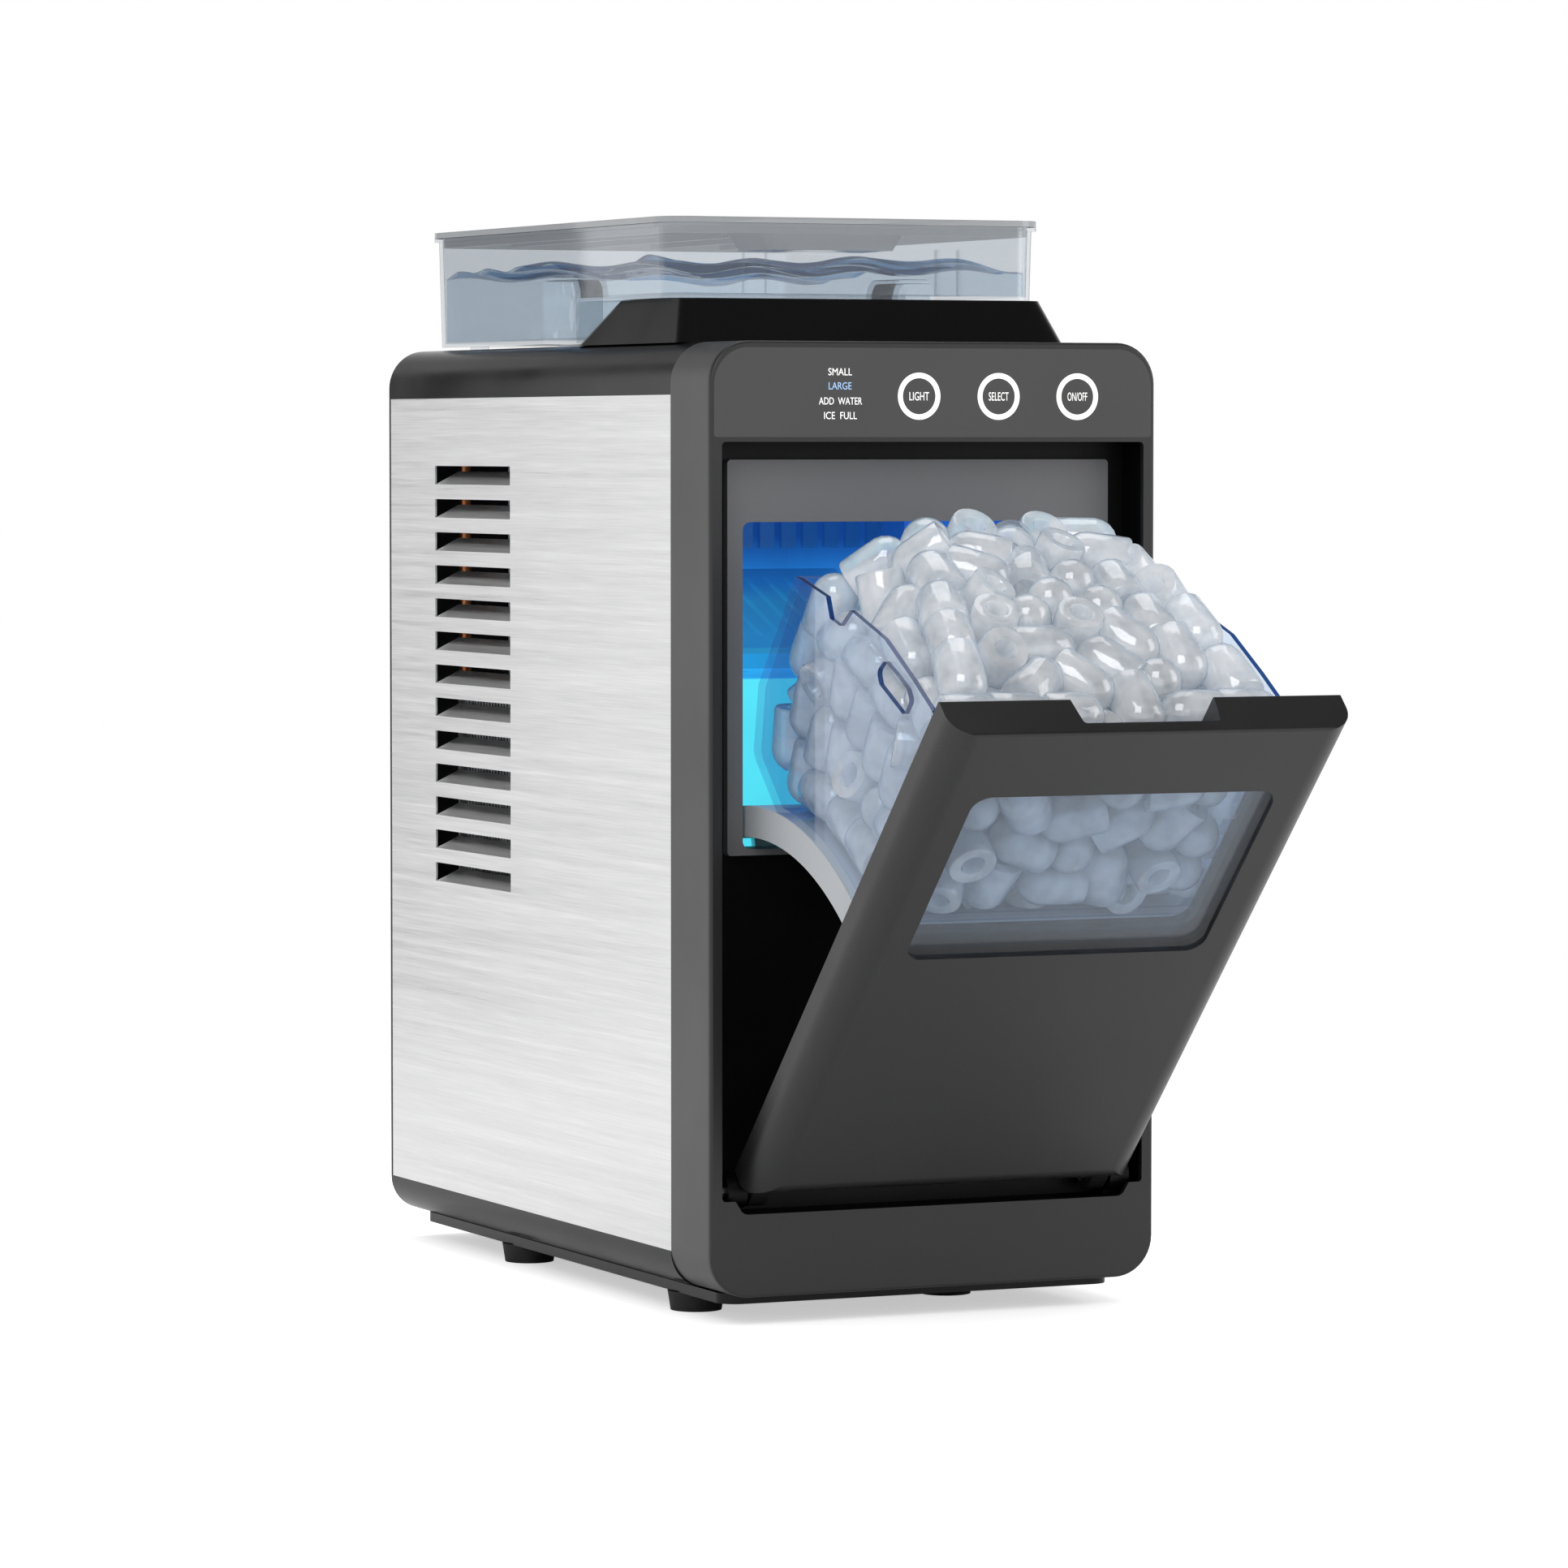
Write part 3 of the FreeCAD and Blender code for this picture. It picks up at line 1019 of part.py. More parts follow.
# ---------------------------------------------------------------- cooling works
def condenser():
    """Finned block behind the left louvres, with its tube ends."""
    x0 = CONDENSER_X0
    z0, z1 = CONDENSER_Z0, CONDENSER_Z0 + CONDENSER_H
    y0, y1 = LOUVRE_Y0 + CONDENSER_INSET, LOUVRE_Y0 + LOUVRE_L - CONDENSER_INSET
    ends = [box(x0, x0 + CONDENSER_T, y, y + 2, z0, z1) for y in (y0, y1 - 2)]
    fins = [box(x0 + 1, x0 + CONDENSER_T - 1, y0 + 4 + i * 4, y0 + 5 + i * 4, z0 + 1, z1 - 1)
            for i in range(int((y1 - y0 - 8) / 4))]
    rows = [rod((0, 1, 0), (x0 + CONDENSER_T / 2, y0, z0 + ROW_LOW + i * ROW_PITCH), 3.5, y1 - y0)
            for i in range(ROW_N)]
    return rows[0].fuse(rows[1:] + ends + fins).removeSplitter()


def fan_shroud():
    x0 = CONDENSER_X0 + CONDENSER_T
    x1 = x0 + SHROUD_T
    y0, y1 = LOUVRE_Y0 + CONDENSER_INSET, LOUVRE_Y0 + LOUVRE_L - CONDENSER_INSET
    z0, z1 = CONDENSER_Z0, CONDENSER_Z0 + CONDENSER_H
    outer = box(x0, x1, y0, y1, z0, z1 - 2)
    bore = rod((1, 0, 0), (x0, FAN_Y, FAN_Z), FAN_R + 2, SHROUD_T)
    arms = [box(x1, x1 + 3, FAN_Y - 3, FAN_Y + 3, z0 + 2, z1 - 4),
            box(x1, x1 + 3, y0 + 2, y1 - 2, FAN_Z - 3, FAN_Z + 3)]
    hub = rod((1, 0, 0), (x1, FAN_Y, FAN_Z), 17, 3)
    legs = [box(x1 - 6, x1, y, y + 6, FLOOR_Z, z0) for y in (y0 + 4, y1 - 10)]
    shaft = rod((1, 0, 0), (x1, FAN_Y, FAN_Z), 5, 3)
    return outer.cut(bore).fuse(arms + [hub] + legs).cut(shaft).removeSplitter()


def fan_motor():
    x1 = CONDENSER_X0 + CONDENSER_T + SHROUD_T + 3
    can = rod((1, 0, 0), (x1, FAN_Y, FAN_Z), 16, 22)
    shaft = rod((1, 0, 0), (x1 - 17, FAN_Y, FAN_Z), 2, 17)
    return can.fuse(shaft).removeSplitter()


def fan_rotor():
    x0 = CONDENSER_X0 + CONDENSER_T + 3
    hub = rod((1, 0, 0), (x0, FAN_Y, FAN_Z), 13, 14)
    blades = []
    for i in range(7):
        blade = box(x0 + 6, x0 + 7.6, FAN_Y - 13, FAN_Y + 13, FAN_Z + 10, FAN_Z + FAN_R + 6)
        blade.rotate(V(x0 + 7, FAN_Y, FAN_Z), V(0, 0, 1), 24)
        blade.rotate(V(x0, FAN_Y, FAN_Z), V(1, 0, 0), i * 360 / 7)
        blades.append(blade)
    disc = rod((1, 0, 0), (x0 - 2, FAN_Y, FAN_Z), FAN_R, 20)
    whole = hub.fuse([b.common(disc) for b in blades])
    return whole.cut(rod((1, 0, 0), (x0 + 2, FAN_Y, FAN_Z), 2 + RUN, 14)).removeSplitter()


def compressor():
    z0 = FLOOR_Z + GROMMET_H
    can = rod((0, 0, 1), (COMP_X, COMP_Y, z0 + 3), COMP_R, COMP_H - 3)
    top = [e for e in can.Edges if e.BoundBox.ZMin > z0 + COMP_H - 1]
    can = can.makeFillet(14, top)
    seam = rod((0, 0, 1), (COMP_X, COMP_Y, z0 + COMP_H * 0.45), COMP_R + 2, 4)
    foot = slab(COMP_X - 58, COMP_X + 58, COMP_Y - 40, COMP_Y + 40, 8, "xy", z0, z0 + 3)
    box_ = box(COMP_X + COMP_R - 6, COMP_X + COMP_R + 14, COMP_Y - 18, COMP_Y + 18, z0 + 50, z0 + 90)
    holes = [rod((0, 0, 1), (COMP_X + dx, COMP_Y + dy, z0), 5, 3) for dx, dy in GROMMET_AT]
    return can.fuse([seam, foot, box_]).cut(holes).removeSplitter()


GROMMET_AT = [(dx, dy) for dx in (-50, 50) for dy in (-32, 32)]


def compressor_grommets():
    made = []
    for dx, dy in GROMMET_AT:
        base = rod((0, 0, 1), (COMP_X + dx, COMP_Y + dy, FLOOR_Z), 7, 12)
        neck = rod((0, 0, 1), (COMP_X + dx, COMP_Y + dy, FLOOR_Z + 12), 5 - FLAT, 3)
        cap = rod((0, 0, 1), (COMP_X + dx, COMP_Y + dy, FLOOR_Z + 15), 6.5, 3)
        made.append(base.fuse([neck, cap]).removeSplitter())
    return made


def refrigerant_pipes():
    """Copper runs: compressor to condenser, condenser to evaporator, and back."""
    top = FLOOR_Z + GROMMET_H + COMP_H
    y_comp = COMP_Y + 15
    y_rear = LOUVRE_Y0 + LOUVRE_L + 8
    y_end = LOUVRE_Y0 + LOUVRE_L - CONDENSER_INSET
    x_cond = CONDENSER_X0 + CONDENSER_T / 2
    z_over = BAY_TOP + LINER_T + PIPE_R + 1.5
    z_plate = EVAP_Z + EVAP_T
    low = CONDENSER_Z0 + ROW_LOW
    high = low + (ROW_N - 1) * ROW_PITCH
    discharge = tube([(COMP_X - 20, y_comp, top), (COMP_X - 20, y_comp, top + 22),
                      (COMP_X - 20, y_rear, top + 22), (x_cond, y_rear, top + 22),
                      (x_cond, y_rear, low), (x_cond, y_end, low)], PIPE_R, PIPE_BEND)
    liquid = tube([(x_cond, y_end, high), (x_cond, y_rear, high), (x_cond, y_rear, z_over),
                   (PIPE_XS[0], y_rear, z_over), (PIPE_XS[0], EVAP_Y, z_over),
                   (PIPE_XS[0], EVAP_Y, z_plate)], PIPE_R, PIPE_BEND)
    suction = tube([(PIPE_XS[1], y_comp, top), (PIPE_XS[1], y_comp, z_over),
                    (PIPE_XS[1], EVAP_Y, z_over), (PIPE_XS[1], EVAP_Y, z_plate)],
                   PIPE_R, PIPE_BEND)
    return [discharge, liquid, suction]


# ---------------------------------------------------------------- assemble and write
def build():
    keep("base_tray", base_tray())
    pads, screws = feet()
    keep("rubber_feet", pads)
    keep("foot_screws", screws)
    left = side_panel()
    keep("left_side_panel", left)
    keep("right_side_panel", left.mirror(V(0, 0, 0), V(1, 0, 0)))
    keep("rear_panel", rear_panel())
    keep("panel_screws", panel_screws())
    keep("screw_rails", screw_rails())
    keep("power_inlet", power_inlet())
    keep("top_cover", top_cover())
    keep("dock_seat", dock_seat())
    keep("tank_dock", tank_dock())
    keep("front_fascia", front_fascia())
    keep("control_panel", control_panel())
    keep("touch_rings", touch_rings())
    keep("front_frame", front_frame())
    keep("landing_panel", landing_panel())
    keep("door_magnets", magnets())
    keep("control_board", control_board())
    keep("door_shell", door_shell())
    keep("door_inner_panel", door_inner_panel())
    keep("strike_plates", strike_plates())
    keep("door_window", door_window())
    keep("door_hinge_pins", hinge_pins())
    keep("hinge_brackets", hinge_brackets())
    keep("bin_cradle", bin_cradle())
    keep("ice_bin", ice_bin())
    keep("tank_body", tank_body())
    keep("tank_lid", tank_lid())
    keep("tank_valve", tank_valve())
    keep("valve_cage", valve_cage())
    keep("valve_spring", valve_spring())
    keep("chamber_liner", chamber_liner())
    keep("ice_chute", chute())
    keep("evaporator", evaporator())
    keep("water_tray", water_tray())
    keep("tray_motor", tray_motor())
    keep("tray_bearing", tray_bearing())
    keep("ice_rake", ice_rake())
    keep("rake_bearings", rake_bearings())
    keep("led_lamp", led_lamp())
    keep("ice_full_sensors", ice_full_sensors())
    keep("reservoir", reservoir())
    keep("water_pump", water_pump())
    keep("pump_hose", pump_hose())
    keep("drain_hose", drain_hose())
    keep("drain_nozzle", drain_nozzle())
    keep("drain_cap", drain_cap())
    keep("condenser", condenser())
    keep("fan_shroud", fan_shroud())
    keep("fan_motor", fan_motor())
    keep("fan_rotor", fan_rotor())
    keep("compressor", compressor())
    keep("compressor_grommets", compressor_grommets())
    keep("refrigerant_pipes", refrigerant_pipes())


def write():
    os.makedirs("parts", exist_ok=True)
    whole = FreeCAD.BoundBox()
    for shape in PIECES.values():
        whole.add(shape.optimalBoundingBox(False, False))
    middle = (whole.YMin + whole.YMax) / 2
    print("moved along Y by", round(-middle, 4), "size", round(whole.XLength, 2),
          round(whole.YLength, 2), round(whole.ZLength, 2), "z0", round(whole.ZMin, 3))
    for name, shape in PIECES.items():
        moved = shape.copy()
        moved.translate(V(0, -middle, 0))
        if not moved.isValid():
            print("not valid:", name)
        print(name, len(moved.Solids), round(moved.Volume / 1000, 1), "cm3")
        moved.exportStep("parts/" + name + ".step")


build()
write()
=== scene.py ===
# %% [markdown]
# # A countertop ice maker with a tilt-out ice bin
# The machine's measured parts arrive as a fixed frame.  This lesson dresses them: it gives
# every part the surface its real material has, prints the words on the touch panel, fills
# the tank with water and heaps bullet-shaped ice in the bin.  Loading the frame first means
# every later size can be read from it instead of being guessed.

# %% Load the frame
import bpy
import bmesh
import json
import math
import random
import numpy as np
from mathutils import Matrix, Vector


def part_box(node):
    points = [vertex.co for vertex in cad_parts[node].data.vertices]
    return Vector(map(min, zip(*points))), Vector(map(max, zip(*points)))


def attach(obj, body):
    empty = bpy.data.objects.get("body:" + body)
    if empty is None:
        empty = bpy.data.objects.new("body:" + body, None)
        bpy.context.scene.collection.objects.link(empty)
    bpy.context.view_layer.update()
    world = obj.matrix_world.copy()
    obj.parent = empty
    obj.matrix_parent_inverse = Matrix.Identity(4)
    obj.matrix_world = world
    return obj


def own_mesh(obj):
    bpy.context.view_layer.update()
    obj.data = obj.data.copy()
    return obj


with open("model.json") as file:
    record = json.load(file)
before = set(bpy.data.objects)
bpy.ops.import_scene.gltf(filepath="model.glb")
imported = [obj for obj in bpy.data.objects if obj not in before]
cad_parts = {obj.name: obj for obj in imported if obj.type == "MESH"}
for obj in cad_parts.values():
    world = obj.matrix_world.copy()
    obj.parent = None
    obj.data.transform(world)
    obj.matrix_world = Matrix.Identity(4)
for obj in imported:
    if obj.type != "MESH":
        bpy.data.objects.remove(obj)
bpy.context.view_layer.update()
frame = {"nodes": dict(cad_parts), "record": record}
nodes = frame["nodes"]
scene = bpy.context.scene

# %% [markdown]
# ## Landmarks
# The front plate's face and the door's hinge are where most things are measured from, so
# they are read once.  The door stands open at rest; a point on it is easier to describe with
# the door shut, so one helper turns shut-door places into the open ones.

# %% Landmarks read from the frame
MM = 0.001
FRONT_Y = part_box("front_fascia")[0][1]
FRONT_FRAME = {j["name"]: j for j in frame["record"]["behaviour"]["joints"]}
PIVOT = Vector(FRONT_FRAME["door_tilt"]["pos_m"])
DOOR_OPEN = -math.radians(FRONT_FRAME["door_tilt"]["range_deg"][0])
OPENED = (Matrix.Translation(PIVOT) @ Matrix.Rotation(DOOR_OPEN, 4, "X")
          @ Matrix.Translation(-PIVOT))


def at(x, y, z):
    """A place in millimetres from the front plate's middle, on the table."""
    return Vector((x * MM, FRONT_Y + y * MM, z * MM))


def on_door(x, y, z):
    """The same, given with the door shut and turned to where the open door holds it."""
    return OPENED @ at(x, y, z)


print("door stands open by", round(math.degrees(DOOR_OPEN), 2), "degrees")

# %% [markdown]
# ## Colour and node helpers
# Screens and paint charts give colours as hex values that are not linear, while a renderer
# mixes light linearly, so one function converts.  One more function adds a shader node with
# its settings and links; every material below is built from those two.

# %% Colour and node helpers
def linear(hex_colour, alpha=1.0):
    """An sRGB hex colour as the linear values a shader wants."""
    values = [int(hex_colour[i:i + 2], 16) / 255 for i in (1, 3, 5)]
    return tuple(v / 12.92 if v <= 0.04045 else ((v + 0.055) / 1.055) ** 2.4
                 for v in values) + (alpha,)


def add(tree, kind, settings=None, **links):
    """Adds one node; settings are properties, links are socket values or other sockets."""
    node = tree.nodes.new(kind)
    for key, value in (settings or {}).items():
        setattr(node, key, value)
    for key, value in links.items():
        name = key.replace("_", " ")
        socket = node.inputs[int(key[2:])] if key.startswith("in") and key[2:].isdigit() \
            else node.inputs[name]
        if isinstance(value, bpy.types.NodeSocket):
            tree.links.new(value, socket)
        else:
            socket.default_value = value
    return node


def material(name):
    made = bpy.data.materials.new(name)
    made.use_nodes = True
    made.node_tree.nodes.clear()
    return made, made.node_tree


def finish_with(tree, shader):
    out = add(tree, "ShaderNodeOutputMaterial")
    tree.links.new(shader, out.inputs["Surface"])


def sheen_share(tree, base, normal):
    """Share of light mirrored by a clear surface: small face on, near one at a grazing look."""
    facing = add(tree, "ShaderNodeLayerWeight", Blend=0.5, Normal=normal)
    steep = add(tree, "ShaderNodeMath", {"operation": "POWER"}, in0=facing.outputs["Facing"],
                in1=5.0)
    return add(tree, "ShaderNodeMapRange", Value=steep.outputs["Value"], To_Min=base,
               To_Max=0.9).outputs["Result"]


def dress(finish, *names):
    """Puts one finish on carried-over parts."""
    for name in names:
        mesh = nodes[name].data
        mesh.materials.clear()
        mesh.materials.append(finish)


# %% [markdown]
# ## Moulded plastics
# Most of the shell is injection-moulded ABS.  Its surface copies a spark-eroded mould, so it
# carries a fine even grain that spreads highlights softly.  A fine noise drives the bump, and
# a slower one shifts the roughness a little, as handling and mould wear do.

# %% Moulded ABS
def moulded_abs(name, colour, rough, grain_mm=0.5, grain=0.10, specular=0.5, drift=0.05):
    made, tree = material(name)
    place = add(tree, "ShaderNodeTexCoord").outputs["Object"]
    fine = add(tree, "ShaderNodeTexNoise", Vector=place, Scale=1 / (grain_mm * MM), Detail=2.0)
    slow = add(tree, "ShaderNodeTexNoise", Vector=place, Scale=14.0, Detail=3.0)
    gloss = add(tree, "ShaderNodeMapRange", Value=slow.outputs["Fac"], From_Min=0.3,
                From_Max=0.7, To_Min=rough - drift, To_Max=rough + drift)
    dark = add(tree, "ShaderNodeMix", {"data_type": "RGBA"})
    tree.links.new(slow.outputs["Fac"], dark.inputs["Factor"])
    dark.inputs["A"].default_value = linear(colour)
    dark.inputs["B"].default_value = tuple(min(1, c * 1.12) for c in linear(colour)[:3]) + (1,)
    bump = add(tree, "ShaderNodeBump", Strength=grain, Distance=0.0002,
               Height=fine.outputs["Fac"])
    skin = add(tree, "ShaderNodeBsdfPrincipled", Base_Color=dark.outputs["Result"],
               Roughness=gloss.outputs["Result"], Normal=bump.outputs["Normal"], IOR=1.53)
    skin.inputs["Specular IOR Level"].default_value = specular
    finish_with(tree, skin.outputs["BSDF"])
    return made


SHELL_BLACK = moulded_abs("moulded_abs_black_gloss", "#0C0C0D", 0.20, grain=0.03, specular=0.24)
POST_GREY = moulded_abs("moulded_abs_charcoal_satin", "#3A3A3B", 0.34)
FASCIA_GREY = moulded_abs("moulded_abs_charcoal_matt", "#1A1A1B", 0.42)
DOOR_GREY = moulded_abs("moulded_abs_door_satin", "#171718", 0.34)
LANDING_GREY = moulded_abs("moulded_abs_grey_matt", "#626264", 0.44)
# Near-black with little shine: the colour of the small black parts, and painted shade on the front
# frame's recess.
BLACK_PARTS_AND_RECESS_SHADE = moulded_abs("moulded_abs_cavity_black", "#040405", 0.40, specular=0.16)
LINER_WHITE = moulded_abs("moulded_liner_white", "#C9D3DA", 0.40)
CRADLE_GREY = moulded_abs("moulded_abs_light_grey", "#B4B8BC", 0.42)
WORKS_WHITE = moulded_abs("moulded_pp_white", "#D9DADA", 0.45)
dress(SHELL_BLACK, "top_cover", "tank_dock", "base_tray")
dress(POST_GREY, "front_frame")
dress(FASCIA_GREY, "front_fascia")
dress(DOOR_GREY, "door_shell")
dress(BLACK_PARTS_AND_RECESS_SHADE, "door_inner_panel", "hinge_brackets", "dock_seat", "power_inlet",
      "rake_bearings", "tray_bearing", "fan_shroud", "drain_nozzle", "ice_full_sensors",
      "water_pump")
dress(LANDING_GREY, "landing_panel")
# The front frame's recess faces take that near-black finish: painted shade deep in the recess round
# the door.
FRAME = nodes["front_frame"].data
FRAME.materials.append(BLACK_PARTS_AND_RECESS_SHADE)
painted_shade_low, painted_shade_high = at(-112.6, 3.2, 53.8), at(112.6, 24.0, 422.4)
for polygon in FRAME.polygons:
    if all(a <= c <= b for a, c, b in zip(painted_shade_low, polygon.center, painted_shade_high)):
        polygon.material_index = 1
dress(CRADLE_GREY, "bin_cradle")
dress(WORKS_WHITE, "tray_motor", "fan_rotor", "reservoir", "valve_cage", "tank_valve")
print("moulded plastics done")

# %% [markdown]
# ## The gloss touch panel
# The touch keys sit behind a polished sheet of dark acrylic.  It is almost mirror smooth, so
# only a trace of waviness is added; a clear coat gives it the deep look of acrylic.

# %% Gloss overlay
def gloss_acrylic():
    made, tree = material("acrylic_dark_polished")
    place = add(tree, "ShaderNodeTexCoord").outputs["Object"]
    wave = add(tree, "ShaderNodeTexNoise", Vector=place, Scale=22.0, Detail=1.0)
    bump = add(tree, "ShaderNodeBump", Strength=0.04, Distance=0.0006, Height=wave.outputs["Fac"])
    shade = add(tree, "ShaderNodeValToRGB", Fac=wave.outputs["Fac"])
    shade.color_ramp.elements[0].color = linear("#2E2E2F")
    shade.color_ramp.elements[1].color = linear("#363637")
    skin = add(tree, "ShaderNodeBsdfPrincipled", Base_Color=shade.outputs["Color"],
               Roughness=0.16, IOR=1.49, Normal=bump.outputs["Normal"])
    skin.inputs["Coat Weight"].default_value = 0.6
    skin.inputs["Coat Roughness"].default_value = 0.03
    finish_with(tree, skin.outputs["BSDF"])
    return made


dress(gloss_acrylic(), "control_panel")

# %% [markdown]
# ## Brushed stainless steel
# The side sheets are rolled steel drawn past an abrasive belt, front to rear.  The belt
# leaves long shallow scratches, so the noise is stretched about a hundred times along Y.
# The scratches roughen the reflection across the grain only, which anisotropy gives.

# %% Brushed steel
def brushed_steel():
    made, tree = material("stainless_steel_belt_brushed")
    place = add(tree, "ShaderNodeTexCoord").outputs["Object"]
    long_way = add(tree, "ShaderNodeMapping", Vector=place, Scale=(1.0, 0.012, 1.0))
    fine = add(tree, "ShaderNodeTexNoise", Vector=long_way.outputs["Vector"], Scale=1900.0,
               Detail=3.0)
    broad = add(tree, "ShaderNodeTexNoise", Vector=long_way.outputs["Vector"], Scale=260.0,
                Detail=4.0)
    both = add(tree, "ShaderNodeMath", {"operation": "ADD"}, in0=fine.outputs["Fac"],
               in1=broad.outputs["Fac"])
    rough = add(tree, "ShaderNodeMapRange", Value=both.outputs["Value"], From_Min=0.6,
                From_Max=1.4, To_Min=0.26, To_Max=0.44)
    tint = add(tree, "ShaderNodeMapRange", Value=both.outputs["Value"], From_Min=0.5,
               From_Max=1.5, To_Min=0.0, To_Max=1.0)
    metal = add(tree, "ShaderNodeMix", {"data_type": "RGBA"})
    tree.links.new(tint.outputs["Result"], metal.inputs["Factor"])
    metal.inputs["A"].default_value = linear("#E2E2E3")
    metal.inputs["B"].default_value = linear("#FFFFFF")
    bump = add(tree, "ShaderNodeBump", Strength=0.10, Distance=0.0002,
               Height=both.outputs["Value"])
    skin = add(tree, "ShaderNodeBsdfPrincipled", Base_Color=metal.outputs["Result"],
               Metallic=1.0, Roughness=rough.outputs["Result"], Normal=bump.outputs["Normal"])
    skin.inputs["Anisotropic"].default_value = 0.5
    finish_with(tree, skin.outputs["BSDF"])
    return made


STEEL = brushed_steel()
dress(STEEL, "left_side_panel", "right_side_panel")

# %% [markdown]
# ## Metals inside
# Behind the louvres are drawn copper pipe, rolled aluminium fins, a black enamelled
# compressor can and zinc-plated fixings.  Each gets its own grain: tarnish blotches on the
# copper, a faint fine mottle on the aluminium, orange peel on the enamel.

# %% Inner metals
def plain_metal(name, colour_a, colour_b, rough, scale, metallic=1.0):
    made, tree = material(name)
    place = add(tree, "ShaderNodeTexCoord").outputs["Object"]
    cloud = add(tree, "ShaderNodeTexNoise", Vector=place, Scale=scale, Detail=4.0)
    shade = add(tree, "ShaderNodeValToRGB", Fac=cloud.outputs["Fac"])
    shade.color_ramp.elements[0].color = linear(colour_a)
    shade.color_ramp.elements[0].position = 0.35
    shade.color_ramp.elements[1].color = linear(colour_b)
    shade.color_ramp.elements[1].position = 0.65
    gloss = add(tree, "ShaderNodeMapRange", Value=cloud.outputs["Fac"], To_Min=rough - 0.08,
                To_Max=rough + 0.10)
    bump = add(tree, "ShaderNodeBump", Strength=0.12, Distance=0.0003,
               Height=cloud.outputs["Fac"])
    skin = add(tree, "ShaderNodeBsdfPrincipled", Base_Color=shade.outputs["Color"],
               Metallic=metallic, Roughness=gloss.outputs["Result"],
               Normal=bump.outputs["Normal"])
    finish_with(tree, skin.outputs["BSDF"])
    return made


dress(plain_metal("copper_drawn_tarnished", "#B4673E", "#D08A5C", 0.34, 120.0),
      "refrigerant_pipes")
dress(plain_metal("aluminium_fin_stock", "#A9ABAD", "#D2D4D6", 0.38, 300.0), "condenser")
dress(plain_metal("steel_black_enamel", "#0F0F10", "#1A1A1B", 0.34, 500.0, 0.0), "compressor")
ZINC = plain_metal("steel_zinc_plated", "#9FA2A4", "#C6C8C9", 0.30, 400.0)
dress(ZINC, "screw_rails", "panel_screws", "foot_screws", "door_hinge_pins", "strike_plates",
      "door_magnets", "valve_spring", "fan_motor")
dress(plain_metal("steel_black_powder_coat", "#1D1D1E", "#262627", 0.55, 900.0, 0.0),
      "rear_panel")

# %% [markdown]
# ## Rubber, silicone and circuit board
# Moulded rubber feet are dull with a dusty bloom, silicone hose is milky, and the board is
# green solder mask over glass cloth, drawn as a fine weave.

# %% Rubber, silicone and board
dress(plain_metal("rubber_moulded_black", "#0C0C0D", "#1A1A1A", 0.62, 90.0, 0.0),
      "rubber_feet", "compressor_grommets", "drain_cap")
dress(plain_metal("silicone_hose_milky", "#BFC3C4", "#D8DBDB", 0.45, 60.0, 0.0),
      "pump_hose", "drain_hose")


def solder_mask():
    made, tree = material("circuit_board_green_mask")
    place = add(tree, "ShaderNodeTexCoord").outputs["Object"]
    weave = add(tree, "ShaderNodeTexChecker", Vector=place, Scale=900.0,
                Color1=linear("#0D4A24"), Color2=linear("#10562A"))
    skin = add(tree, "ShaderNodeBsdfPrincipled", Base_Color=weave.outputs["Color"],
               Roughness=0.28)
    finish_with(tree, skin.outputs["BSDF"])
    return made


dress(solder_mask(), "control_board")

# %% [markdown]
# ## Light guides and the chamber lamp
# The touch rings and the words on the panel glow faintly white from behind.  The lamp in the
# chamber roof is a blue-white strip of diodes; what shows is mostly its light on the liner.

# %% Glowing parts
def glowing(name, colour, strength, rough=0.4):
    made, tree = material(name)
    place = add(tree, "ShaderNodeTexCoord").outputs["Object"]
    cloud = add(tree, "ShaderNodeTexNoise", Vector=place, Scale=250.0)
    level = add(tree, "ShaderNodeMapRange", Value=cloud.outputs["Fac"], To_Min=strength * 0.94,
                To_Max=strength * 1.04)
    skin = add(tree, "ShaderNodeBsdfPrincipled", Base_Color=linear(colour), Roughness=rough,
               Emission_Color=linear(colour), Emission_Strength=level.outputs["Result"])
    finish_with(tree, skin.outputs["BSDF"])
    return made


PRINT_WHITE = glowing("light_guide_white", "#F4F4F2", 0.42)
PRINT_BLUE = glowing("light_guide_blue_white", "#9FC0E8", 0.35)
dress(PRINT_WHITE, "touch_rings")
dress(glowing("lamp_diodes_blue", "#7FD8FF", 5.0), "led_lamp")

# %% [markdown]
# ## The lit liner
# The chamber's liner is white plastic, lit blue by the lamp.  That light is painted on as glow:
# painted shade, deep blue, behind the works near the roof, turning to painted light, bright cyan,
# lower down.  A height ramp in the glow gives that turn without dozens of light bounces.

